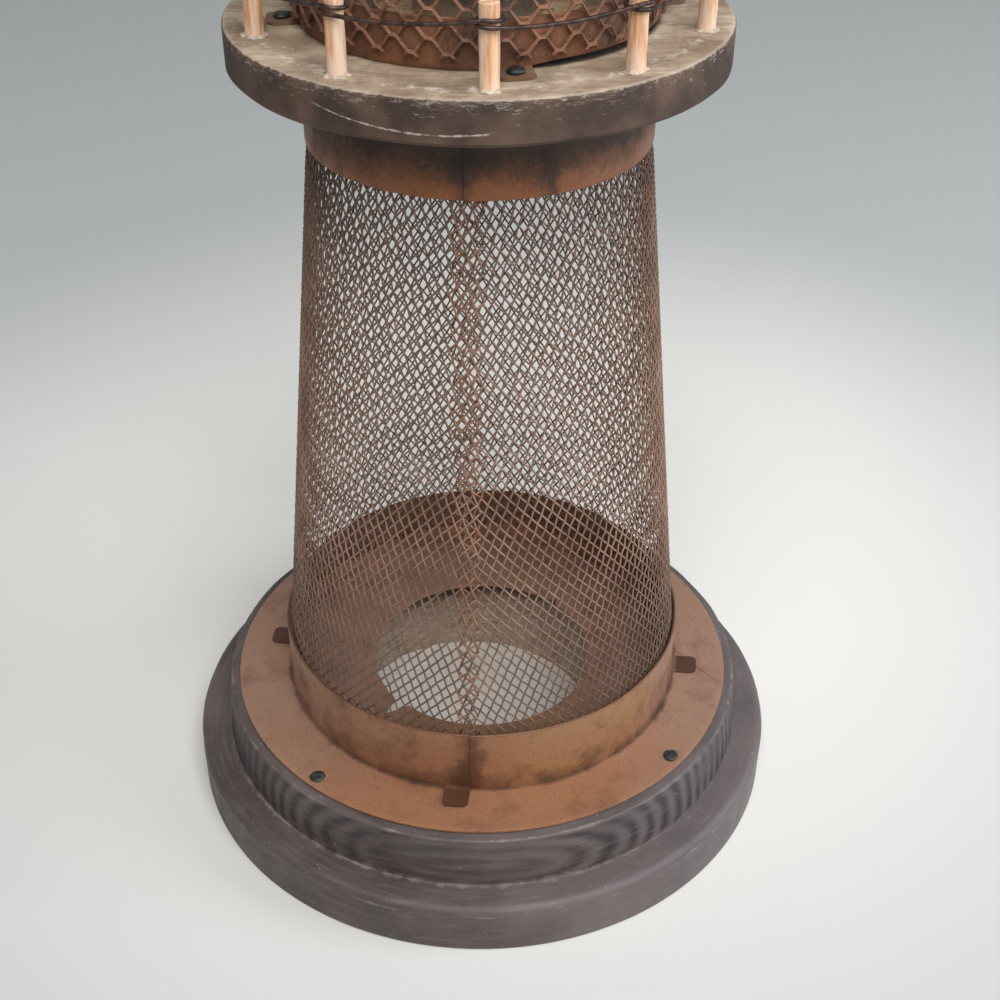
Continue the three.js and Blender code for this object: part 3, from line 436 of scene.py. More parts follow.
# Flange plate: a ring of thin tin, lacquered copper brown, nailed flat on the base. Its hole was snipped
# by hand, with one straight side, a slip of the snips and a short slit.
TIN = 0.8 * MM
PLATE_HOLE = 39.7 * MM
SNIP_FROM = -77
SNIP_TO = -49
SNIP_OVERCUT = 1.8 * MM
NOTCH_TIP = -45
NOTCH_TO = -41
NOTCH_DEPTH = 8.5 * MM
SLIT_ANGLE = 138
SLIT_HALF = 3
SLIT_DEPTH = 3 * MM
PLATE_STEPS = 360
PLATE_ROWS = 22
LAP_STEP = 0.35 * MM
LAP_FADE = 26 * MM
LAP_SIDE = 40 * MM  # the lap lies farther to the right than this
SCORE_GAP = 0.25 * MM
PLATE_WAVE = 42 * MM
PLATE_LIFT = 0.55 * MM  # at the rim, where the plate stands off the board
PLATE_BEVEL = 0.15 * MM
DARKENED_RING = 71 * MM  # round the foot of the collar
SHADE_RAGGED = 11 * MM
GOLD_SHEEN_FADE = math.radians(14)
LACQUER = "#a47556"
LACQUER_ROSE = "#aa8572"
LACQUER_GOLD_SHEEN = "#a37b57"
LACQUER_DARK = "#5d3f2e"
LACQUER_SOOT_AND_SHADE = "#35261f"
LACQUER_TAB = "#52352a"
RUST_SPECK = "#5a3826"


def lacquered_tin(name, tint, stained, laps=(), gold=(0, 0), grime_and_shade=(0, 0), tab_radius=1.0, shade=0.0,
                  cut_edge=1.0, darkened_ring=1.0, lap_stain=RUST_SPECK, rosy=0.9):
    """Brown copper lacquer over sheet tin: a soft metallic shine, orange at the front, rose at the sides and
    a painted gold sheen on one side, with rust specks, a dark lap, stains and, where a shade is given,
    painted shade over a span of heights, and dark tabs."""
    material, tree, shader, place = new_material(name)
    angle, radius, height = around_axis(tree, place)
    aside = apart_from(tree, angle, 0)
    broad = add_node(tree, "TexNoise", {"Vector": place, "Scale": 1 / (26 * MM), "Detail": 4,
                                        "Roughness": 0.6})
    wander = add_node(tree, "Math", {0: broad, 1: math.radians(70), 2: aside}, operation="MULTIPLY_ADD")
    colour = laid_over(tree, tint, LACQUER_ROSE, wander, math.radians(55), math.radians(100), rosy)

    # A painted gold sheen on the side where the light catches the metallic lacquer
    gold_from, gold_to = (math.radians(limit) for limit in gold)
    gold_in = add_node(tree, "MapRange", {"Value": angle, "From Min": gold_from,
                                          "From Max": gold_from + GOLD_SHEEN_FADE})
    colour = laid_over(tree, colour, LACQUER_GOLD_SHEEN, angle, gold_to, gold_to - GOLD_SHEEN_FADE, gold_in)

    # Stains, about 12 mm across, thicker towards one end of the span, and a painted shade over the span with
    # a grained edge. On the upper collar the thickening and the shade are painted shade under the deck.
    stain = add_node(tree, "TexNoise", {"Vector": place, "Scale": 1 / (12 * MM), "Detail": 6,
                                        "Roughness": 0.65})
    grime_and_shade_in = add_node(tree, "MapRange", {"Value": height, "From Min": grime_and_shade[0], "From Max": grime_and_shade[1],
                                           "To Max": 0.14})
    thick = add_node(tree, "Math", {0: stain, 1: grime_and_shade_in}, operation="ADD")
    colour = laid_over(tree, colour, LACQUER_DARK, thick, 0.5, 0.72, stained)
    pitted = add_node(tree, "TexNoise", {"Vector": place, "Scale": 1 / (1.2 * MM), "Detail": 5,
                                         "Roughness": 0.7})
    # Painted shade: a dark layer over the span, its edge frayed by the stains and pits; only the upper
    # collar has one.
    shade_frayed = add_node(tree, "Math", {0: stain, 1: SHADE_RAGGED, 2: height}, operation="MULTIPLY_ADD")
    grained = add_node(tree, "Math", {0: pitted, 1: SHADE_RAGGED, 2: shade_frayed}, operation="MULTIPLY_ADD")
    colour = laid_over(tree, colour, LACQUER_SOOT_AND_SHADE, grained, grime_and_shade[0] + SHADE_RAGGED, grime_and_shade[1] + SHADE_RAGGED,
                       shade)

    # Rust specks of about half a millimetre, dark tabs and rim, and a darker ring
    colour, speck = blotched(tree, colour, RUST_SPECK, place, 0.8 * MM, 0.52, 0.74, 0.65, detail=4,
                             rough=0.7)
    colour = laid_over(tree, colour, LACQUER_TAB, radius, tab_radius, tab_radius + MM, 0.9)
    colour = laid_over(tree, colour, LACQUER_DARK, height, cut_edge - 0.6 * MM, cut_edge - 0.3 * MM, 0.8)
    off_ring = apart_from(tree, radius, darkened_ring)
    uneven = add_node(tree, "Math", {0: stain, 1: -4 * MM, 2: off_ring}, operation="MULTIPLY_ADD")
    colour = laid_over(tree, colour, LACQUER_SOOT_AND_SHADE, uneven, -0.6 * MM, -2 * MM, 0.7)
    for lap_angle in laps:
        away = apart_from(tree, angle, math.radians(lap_angle))
        smeared = add_node(tree, "Math", {0: thick, 1: math.radians(-14), 2: away}, operation="MULTIPLY_ADD")
        colour = laid_over(tree, colour, lap_stain, smeared, math.radians(-2.6), math.radians(-6.5), 0.85)
    bump = add_node(tree, "Bump", {"Height": speck, "Distance": 0.08 * MM, "Strength": 0.5})
    shine = add_node(tree, "MapRange", {"Value": stain, "From Min": 0.35, "From Max": 0.7,
                                        "To Min": 0.42, "To Max": 0.66})
    fill(tree, shader, {"Base Color": colour, "Normal": bump, "Roughness": shine, "Metallic": 0.4})
    return material


def snipped_radius(degrees):
    """How far the plate's hole reaches at an angle: the scribed circle and the slips of the snips."""
    if SNIP_FROM <= degrees <= SNIP_TO:
        middle = (SNIP_FROM + SNIP_TO) / 2
        flat = (PLATE_HOLE + SNIP_OVERCUT) * math.cos(math.radians(SNIP_TO - middle))
        return flat / math.cos(math.radians(degrees - middle))
    if SNIP_TO < degrees <= NOTCH_TIP:
        share = (degrees - SNIP_TO) / (NOTCH_TIP - SNIP_TO)
        return PLATE_HOLE + SNIP_OVERCUT + (NOTCH_DEPTH - SNIP_OVERCUT) * share
    if NOTCH_TIP < degrees < NOTCH_TO:
        return PLATE_HOLE + NOTCH_DEPTH * (NOTCH_TO - degrees) / (NOTCH_TO - NOTCH_TIP)
    slit = 1 - abs(degrees - SLIT_ANGLE) / SLIT_HALF
    return PLATE_HOLE + SLIT_DEPTH * max(0.0, slit)


def angle_of(place):
    """A point's angle from the front, in degrees from -180 to 180."""
    return math.degrees(math.atan2(place.x, -place.y))


def score(piece, point, across, gap=SCORE_GAP):
    """Scores a sheet twice along one line, so that a lap can step up across it."""
    bpy.context.view_layer.objects.active = piece
    bpy.ops.object.mode_set(mode="EDIT")
    for side in (-0.5, 0.5):
        bpy.ops.mesh.select_all(action="SELECT")
        bpy.ops.mesh.bisect(plane_co=point + across * (side * gap), plane_no=across)
    bpy.ops.object.mode_set(mode="OBJECT")


plate_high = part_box("flange_plate")[1]
clear_selection()
bpy.ops.mesh.primitive_circle_add(vertices=PLATE_STEPS, radius=plate_high.x, location=(0, 0, plate_high.z))
plate = bpy.context.object
plate.name = plate.data.name = "tin_flange"
bpy.ops.object.transform_apply()
bpy.ops.object.mode_set(mode="EDIT")
bpy.ops.mesh.duplicate()
bpy.ops.object.mode_set(mode="OBJECT")
for point in plate.data.vertices:
    if point.select:
        reach = snipped_radius(angle_of(point.co))
        point.co = on_circle(reach, angle_of(point.co), point.co.z)
bpy.ops.object.mode_set(mode="EDIT")
bpy.ops.mesh.select_all(action="SELECT")
bpy.ops.mesh.bridge_edge_loops(number_cuts=PLATE_ROWS, interpolation="LINEAR")
bpy.ops.object.mode_set(mode="OBJECT")
if plate.data.polygons[0].normal.z < 0:
    plate.data.flip_normals()

# Two sheets make the plate: the right one laps over along a slanting line by the right-hand tab
lap_point = Vector((77.4 * MM, -5.8 * MM, 0))
lap_across = Vector((0.79, 0.61, 0))
score(plate, lap_point, lap_across)
for point in plate.data.vertices:
    beyond = (point.co - lap_point).dot(lap_across)
    if point.co.x > LAP_SIDE and beyond > 0:
        point.co.z += LAP_STEP * max(0.0, 1 - beyond / LAP_FADE)
    reach = math.hypot(point.co.x, point.co.y) / plate_high.x
    wave = 0.5 + 0.5 * noise.noise(point.co / PLATE_WAVE)
    point.co.z += PLATE_LIFT * wave * reach ** 3
apply_modifier(plate, "SOLIDIFY", thickness=TIN, offset=-1)
apply_modifier(plate, "BEVEL", width=PLATE_BEVEL, segments=2, limit_method="ANGLE",
               angle_limit=math.radians(50))
coat(plate, lacquered_tin("lacquered_tin_flange", LACQUER, 0.5, darkened_ring=DARKENED_RING))
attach(plate, "lantern")
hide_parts("flange_plate")

# Plate nails: round-headed iron tacks, hammered down through the flange into the upper board. The same
# tack holds the room's band and, from below, the upper collar.
TACK_STEPS = 20
IRON = "#353837"
IRON_WORN = "#545854"
IRON_RUST = "#54392b"


def hammered_iron():
    """Blued iron tack: nearly black with a green-grey bloom, dented by the hammer and rusty at the rim."""
    material, tree, shader, place = new_material("blued_iron")
    colour, bloom = blotched(tree, IRON, IRON_WORN, place, 2 * MM, 0.45, 0.65, detail=5)
    colour = blotched(tree, colour, IRON_RUST, place, 3.5 * MM, 0.55, 0.68, 0.7, detail=3)[0]
    bump = add_node(tree, "Bump", {"Height": bloom, "Distance": 0.15 * MM, "Strength": 0.6})
    fill(tree, shader, {"Base Color": colour, "Normal": bump, "Metallic": 0.6, "Roughness": 0.5})
    return material


def tack(name, node, pointing_up=False):
    """A copy of the tack where a nail's node is, each with its own turn about its shank."""
    low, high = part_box(node)
    pick(first_tack)
    bpy.ops.object.duplicate()
    piece = bpy.context.object
    piece.name = piece.data.name = name
    middle = (low + high) / 2
    turn = Matrix.Rotation(math.radians(47 * len(bpy.data.objects)), 4, "Z")
    flip = Matrix.Rotation(math.pi if pointing_up else 0.0, 4, "X")
    seat = Vector((middle.x, middle.y, low.z if pointing_up else high.z))
    piece.data.transform(Matrix.Translation(seat) @ flip @ turn)
    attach(piece, "lantern")
    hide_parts(node)
    return piece


nail_low, nail_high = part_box("plate_nail_1")
head_radius = (nail_high.y - nail_low.y) / 2
HEAD_HEIGHT = 1.3 * MM
SHANK_RADIUS = 0.9 * MM
shank_length = nail_high.z - nail_low.z - HEAD_HEIGHT
tack_section = [
    (0, -HEAD_HEIGHT - shank_length),
    (SHANK_RADIUS, -HEAD_HEIGHT - shank_length + 2 * SHANK_RADIUS),
    (SHANK_RADIUS, -HEAD_HEIGHT),
    (head_radius - 0.3 * MM, -HEAD_HEIGHT),
    (head_radius, -HEAD_HEIGHT * 0.75),
    (head_radius * 0.96, -HEAD_HEIGHT * 0.45),
    (head_radius * 0.82, -HEAD_HEIGHT * 0.2),
    (head_radius * 0.45, -HEAD_HEIGHT * 0.04),
    (0, 0),
]
first_tack = spun("tack_pattern", tack_section, TACK_STEPS)
roughen(first_tack, depth=0.3 * MM, lump=1.7 * MM,
        share=lambda place: 1.0 if place.z > -HEAD_HEIGHT else 0.0)
coat(first_tack, hammered_iron(), degrees=60)
for number in range(1, 5):
    tack(f"plate_tack_{number}", f"plate_nail_{number}")

# Lower collar: a band of lacquered tin bent round and lapped at the front, standing on the flange. Four
# short tabs are bent out of its foot and lie on the plate.
LOWER_RADIUS = 70.7 * MM
LOWER_TAB_FIRST = -6
LOWER_TAB_HALF = 3.5  # degrees to each side of a tab's middle
LOWER_LAP = -2.5
LOWER_GOLD_SHEEN = (4, 62)  # degrees between which a gold sheen is painted
TAB_STRETCHES = (0.2, 0.65, 0.15)  # shares of a tab's reach, with a bend line between them
TAB_NARROWED = 0.72
COLLAR_STEPS = 360
RIM = 0.25 * MM
BOW_LENGTH = 30 * MM
LAP_TURN = 14  # degrees over which a lap's step runs out
COLLAR_BROWN = "#9d7052"


def band_section(outer, foot, top, row):
    """Closed section of a tin band with rounded rims, and a first row one sheet high for the tabs."""
    inner = outer - TIN
    wall = fine([(outer, foot + TIN), (outer, top - TIN)], row)
    back = fine([(inner, top - TIN), (inner, foot + TIN)], row)
    return [
        (inner + RIM, foot),
        (outer - RIM, foot),
        *wall,
        (outer, top - RIM),
        (outer - RIM, top),
        (inner + RIM, top),
        (inner, top - RIM),
        *back,
        (inner + RIM, foot),
    ]


def bend_tabs(piece, first, half_angle, reach, foot, top, wall, outwards=True):
    """Bends four tabs out of a band's rim, a quarter turn apart: the rim's faces near each one's angle are
    drawn out along the radius."""
    for quarter in range(4):
        middle_way = on_circle(1, first + 90 * quarter, 0)
        half_width = wall * math.sin(math.radians(half_angle))
        way = middle_way if outwards else -middle_way

        def on_tab(middle, normal):
            sideways = (middle - middle_way * middle.dot(middle_way)) * Vector((1, 1, 0))
            near = sideways.length < half_width and middle.dot(middle_way) > 0
            return near and foot < middle.z < top and normal.dot(way) > 0.9

        select_where(piece, "FACE", on_tab)
        for stretch in TAB_STRETCHES:
            bpy.ops.mesh.extrude_region_move(TRANSFORM_OT_translate={"value": tuple(way * reach * stretch)})
        bpy.ops.transform.resize(value=(TAB_NARROWED, TAB_NARROWED, 1))
        bpy.ops.object.mode_set(mode="OBJECT")


def score_lap(piece, lap_angle):
    """Scores a band upright along its lap."""
    lap_way = on_circle(1, lap_angle, 0)
    score(piece, Vector((0, 0, 0)), Vector((-lap_way.y, lap_way.x, 0)))


def lap_and_bow(piece, lap_angle, bow, seed):
    """Steps the wall up along its lap and bows it a little in and out, as a hand-bent band is."""
    for point in piece.data.vertices:
        angle = angle_of(point.co)
        outwards = Vector((point.co.x, point.co.y, 0)).normalized()
        past = (angle - lap_angle) % 360
        step = LAP_STEP * max(0.0, 1 - past / LAP_TURN)
        waver = bow * noise.noise(Vector((outwards.x * 3, outwards.y * 3, point.co.z / BOW_LENGTH + seed)))
        point.co += outwards * (step + waver)
    piece.data.update()


collar_low, collar_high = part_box("lower_collar")
lower_collar = spun("lower_collar_band", band_section(LOWER_RADIUS, collar_low.z, collar_high.z, 3 * MM),
                    COLLAR_STEPS, LOWER_TAB_FIRST + 0.5)
bend_tabs(lower_collar, LOWER_TAB_FIRST, LOWER_TAB_HALF, collar_high.x - LOWER_RADIUS, collar_low.z,
          collar_low.z + TIN, LOWER_RADIUS)
score_lap(lower_collar, LOWER_LAP)
lap_and_bow(lower_collar, LOWER_LAP, bow=0.35 * MM, seed=1.7)
collar_grime_and_shade = (collar_low.z + 16 * MM, collar_low.z + 2 * MM)
coat(lower_collar, lacquered_tin("lacquered_tin_lower_collar", COLLAR_BROWN, 0.65, (LOWER_LAP,), LOWER_GOLD_SHEEN,
                                 collar_grime_and_shade, LOWER_RADIUS + MM, cut_edge=collar_high.z))
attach(lower_collar, "lantern")
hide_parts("lower_collar")

# Wire cloth: woven iron wire, pulled on the bias into upright diamonds, cut as a fan, rolled into a cone and
# lapped at the front, with its cut ends left ragged. Each wire passes over and under the ones it crosses.
CLOTH_DIAMOND_WIDTH = 3.33 * MM
CLOTH_DIAMOND_HEIGHT = 5.54 * MM
WIRE_DIAMETER = 0.62 * MM
CRIMP = 0.26 * MM  # how far a wire bends out and in at its crossings
CLOTH_FOOT_RADIUS = 68.6 * MM  # where it leaves the lower collar
CLOTH_TOP_RADIUS = 51.4 * MM  # under the upper collar
CLOTH_NECK = 1.3 * MM  # drawn in to enter the upper collar
NECK_HEIGHT = 5 * MM
FAN_HALF = 12  # degrees to each side of the fan's middle, which lies at the back
SEAM_ANGLE = -3
SEAM_LAP_FOOT = 6 * MM
SEAM_LAP_TOP = 10 * MM
LAP_RISE = 5 * MM
LAYER = 1.2 * MM
PRESSED = 0.35  # share of the lap's step that is left inside the collars
PRESSED_FROM = 8 * MM
FRAY = 2.5 * MM
FRAY_DEPTH = 1.6 * MM
WIRE_BROWN = "#997b69"
WIRE_DARK = "#785d4c"
WIRE_RUST = "#9c6c50"
WIRE_SHADED = "#55443a"

cloth_low, cloth_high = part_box("wire_tower")
upper_collar_low, upper_collar_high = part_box("upper_collar")
cone_foot = collar_high.z
cone_top = upper_collar_low.z - NECK_HEIGHT
taper = (CLOTH_FOOT_RADIUS - CLOTH_TOP_RADIUS) / (cone_top - cone_foot)
half_fan = math.radians(FAN_HALF)
cloth_middle = (cloth_low.z + cloth_high.z) / 2
middle_slant = math.pi * (CLOTH_FOOT_RADIUS - (cloth_middle - cone_foot) * taper) / half_fan
slope = math.cos(math.atan(taper))


def cloth_radius(height):
    """Radius of the rolled cloth's middle at a height."""
    if height > cone_top:
        return CLOTH_TOP_RADIUS - CLOTH_NECK * min(1.0, (height - cone_top) / NECK_HEIGHT)
    return min(CLOTH_FOOT_RADIUS, CLOTH_FOOT_RADIUS - (height - cone_foot) * taper)


def cloth_place(flat):
    """Height of a point of the flat fan once it is rolled, and the width of the lap there."""
    height = cloth_middle + (middle_slant - flat.length) * slope
    share = (height - cloth_low.z) / (cloth_high.z - cloth_low.z)
    return height, SEAM_LAP_FOOT + (SEAM_LAP_TOP - SEAM_LAP_FOOT) * share


def to_cut_edge(flat):
    """How far a point lies inside the nearer cut edge of the cloth, along its arc."""
    height, lap = cloth_place(flat)
    swing = abs(math.atan2(flat.x, flat.y))
    return (1 - swing / half_fan) * math.pi * cloth_radius(height) + lap / 2


def rolled(flat, layer):
    """A point of the flat fan on the rolled cloth. One edge rises over the other, and both are frayed."""
    height, lap = cloth_place(flat)
    swing = math.atan2(flat.x, flat.y)
    inside = to_cut_edge(flat)
    rise = min(1.0, max(0.0, (lap + LAP_RISE - inside) / LAP_RISE)) if swing > 0 else 0.0
    from_collar = min(height - cone_foot, upper_collar_low.z - height) / PRESSED_FROM
    loose = min(1.0, max(0.0, from_collar))
    fray = 0.0
    if inside < FRAY:
        fray = FRAY_DEPTH * loose * (1 - inside / FRAY) * noise.noise(flat.to_3d() / (1.4 * MM))
    step = LAYER * rise * (PRESSED + (1 - PRESSED) * loose)
    angle = SEAM_ANGLE + 180 + 180 * swing / half_fan
    return on_circle(cloth_radius(height) + layer + step + fray, angle, height)


def wire_set(name, along, over):
    """The wires of the cloth that run one way: a grid on its corner keeps only its lines along that way."""
    half_size = 1.1 * (middle_slant * math.sin(half_fan) + (cloth_high.z - cloth_low.z) / 2)
    count = 2 * math.ceil(half_size / CLOTH_DIAMOND_WIDTH)
    clear_selection()
    bpy.ops.mesh.primitive_grid_add(x_subdivisions=count, y_subdivisions=count, size=count)
    wires = bpy.context.object
    wires.name = wires.data.name = name
    numbers = [round(point.co.x) + round(point.co.y) for point in wires.data.vertices]
    wires.data.attributes.new("woven", "INT", "POINT").data.foreach_set("value", numbers)
    across = CLOTH_DIAMOND_WIDTH / math.sqrt(2)
    upright = CLOTH_DIAMOND_HEIGHT / math.sqrt(2)
    racked = Matrix.Diagonal((across, upright, 1, 1)) @ Matrix.Rotation(math.radians(45), 4, "Z")
    wires.data.transform(Matrix.Translation((0, middle_slant, 0)) @ racked)

    def outside(place, normal):
        height = cloth_place(place.xy)[0]
        return not (cloth_low.z < height < cloth_high.z and to_cut_edge(place.xy) > 0)

    select_where(wires, "VERT", outside)
    bpy.ops.mesh.delete(type="VERT")
    bpy.ops.mesh.select_all(action="SELECT")
    bpy.ops.mesh.delete(type="ONLY_FACE")
    kept_way = (racked.to_3x3() @ along).normalized()
    select_where(wires, "EDGE", lambda middle, way: abs(way.dot(kept_way)) < 0.9)
    bpy.ops.mesh.delete(type="EDGE")
    bpy.ops.mesh.select_all(action="SELECT")
    bpy.ops.mesh.delete_loose(use_verts=True, use_edges=False, use_faces=False)
    bpy.ops.object.mode_set(mode="OBJECT")
    crossings = wires.data.attributes["woven"].data
    for point, crossing in zip(wires.data.vertices, crossings):
        side = over if crossing.value % 2 else -over
        point.co = rolled(point.co.xy, side * CRIMP)
    tube(wires, WIRE_DIAMETER / 2, roundness=1)
    return wires


def tube(piece, radius, roundness):
    """Turns rows of joined points into wires of that radius, with closed ends."""
    pick(piece)
    bpy.ops.object.convert(target="CURVE")
    piece.data.bevel_depth = radius
    piece.data.bevel_resolution = roundness
    piece.data.use_fill_caps = True
    bpy.ops.object.convert(target="MESH")
    piece.data.name = piece.name
    bpy.ops.object.mode_set(mode="EDIT")
    merge_points()
    bpy.ops.object.shade_smooth()


def rusty_wire():
    """Drawn iron wire gone brown: dull, with darker and more orange stretches, painted shade towards the
    collars, and with bright rust down the seam."""
    material, tree, shader, place = new_material("rusted_iron_wire")
    angle, _, height = around_axis(tree, place)
    colour = blotched(tree, WIRE_DARK, WIRE_BROWN, place, 16 * MM, 0.38, 0.62, detail=5, rough=0.65)[0]
    # Painted shade: the wires darken towards the foot of the cloth and towards its top.
    colour = laid_over(tree, colour, WIRE_SHADED, height, cone_foot + 50 * MM, cone_foot + 12 * MM, 0.6)
    colour = laid_over(tree, colour, WIRE_SHADED, height, cone_top - 70 * MM, cone_top - 5 * MM, 0.6)
    patch = add_node(tree, "TexNoise", {"Vector": place, "Scale": 1 / (5 * MM), "Detail": 4})
    away = apart_from(tree, angle, math.radians(SEAM_ANGLE))
    seam = add_node(tree, "MapRange", {"Value": away, "From Min": math.radians(6),
                                       "From Max": math.radians(3.5), "To Max": 0.14})
    rusted = add_node(tree, "Math", {0: patch, 1: seam}, operation="ADD")
    colour = laid_over(tree, colour, WIRE_RUST, rusted, 0.54, 0.8, 0.7)
    fill(tree, shader, {"Base Color": colour, "Metallic": 0.3, "Roughness": 0.6})
    return material


wire_finish = rusty_wire()
rising_wires = wire_set("cloth_rising_wires", Vector((1, 0, 0)), 1)
falling_wires = wire_set("cloth_falling_wires", Vector((0, 1, 0)), -1)
for wires in (rising_wires, falling_wires):
    wires.data.materials.append(wire_finish)
    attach(wires, "lantern")
    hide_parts("wire_tower")

# Upper collar: a narrower band of the same tin round the top of the cloth, lapped and soldered at the
# front, with four tabs bent in under the deck and tacked to it from below.
UPPER_LAP = -4.1
UPPER_DRIP = 23  # where solder flux ran down
UPPER_TAB_FIRST = 41
UPPER_TAB_HALF = 4.5
UPPER_TAB_REACH = 8 * MM
COLLAR_BROWN_AND_SHADE = "#8a5635"
upper_radius = upper_collar_high.x
upper_collar = spun("upper_collar_band",
                    band_section(upper_radius, upper_collar_low.z, upper_collar_high.z, 3 * MM),
                    COLLAR_STEPS, UPPER_TAB_FIRST + 0.5)
bend_tabs(upper_collar, UPPER_TAB_FIRST, UPPER_TAB_HALF, UPPER_TAB_REACH, upper_collar_high.z - TIN,
          upper_collar_high.z, upper_radius - TIN, outwards=False)
score_lap(upper_collar, UPPER_LAP)
lap_and_bow(upper_collar, UPPER_LAP, bow=0.2 * MM, seed=5.2)
# Painted shade under the deck: a darker brown, stains thickening towards the top and a dark layer over its
# upper part.
collar_grime_and_shade = (upper_collar_low.z + 2 * MM, upper_collar_high.z - 11 * MM)
coat(upper_collar, lacquered_tin("lacquered_tin_upper_collar", COLLAR_BROWN_AND_SHADE, 0.6, (UPPER_LAP, UPPER_DRIP),
                                 grime_and_shade=collar_grime_and_shade, shade=0.95, lap_stain=LACQUER_SOOT_AND_SHADE, rosy=0.25))
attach(upper_collar, "lantern")
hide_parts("upper_collar")
for number in range(1, 5):
    tack(f"collar_tack_{number}", f"collar_nail_{number}", pointing_up=True)

# Gallery deck: a disc of half-inch board. Its side still has dark paint with a long white scratch, its
# rim is worn rough and pale, and its top has weathered to khaki grey with brown streaks.
DECK_EDGE = 1.2 * MM
DECK_STEP = 1.6 * MM
DECK_STEPS = 300
DECK_RIM_BAND = 3 * MM
DECK_RIM_FROM = 70.9 * MM  # the worn rim begins here
DECK_RIM_FULL = 71.8 * MM
BAND_SHADE_RING = 49 * MM  # painted shade lies round this radius, under the band's foot
DECK_TOP = "#9a8670"
DECK_TOP_PALE = "#c4b19a"
DECK_STREAK = "#735e4c"
DECK_SIDE = "#604a3d"
DECK_SIDE_DARK = "#41312a"
DECK_WORN = "#b5aa9c"
DECK_SHADE_UNDER_BAND = "#241c18"
DECK_CHALK = "#ddd2c4"
DOWEL_CIRCLE = 64.7 * MM
SCRATCH_DIP = 268.8 * MM
SCRATCH_RISE = 18 * MM  # for each radian squared away from its lowest point
SCRATCH_MIDDLE = -8
SCRATCH_FROM = -36
SCRATCH_TO = 3


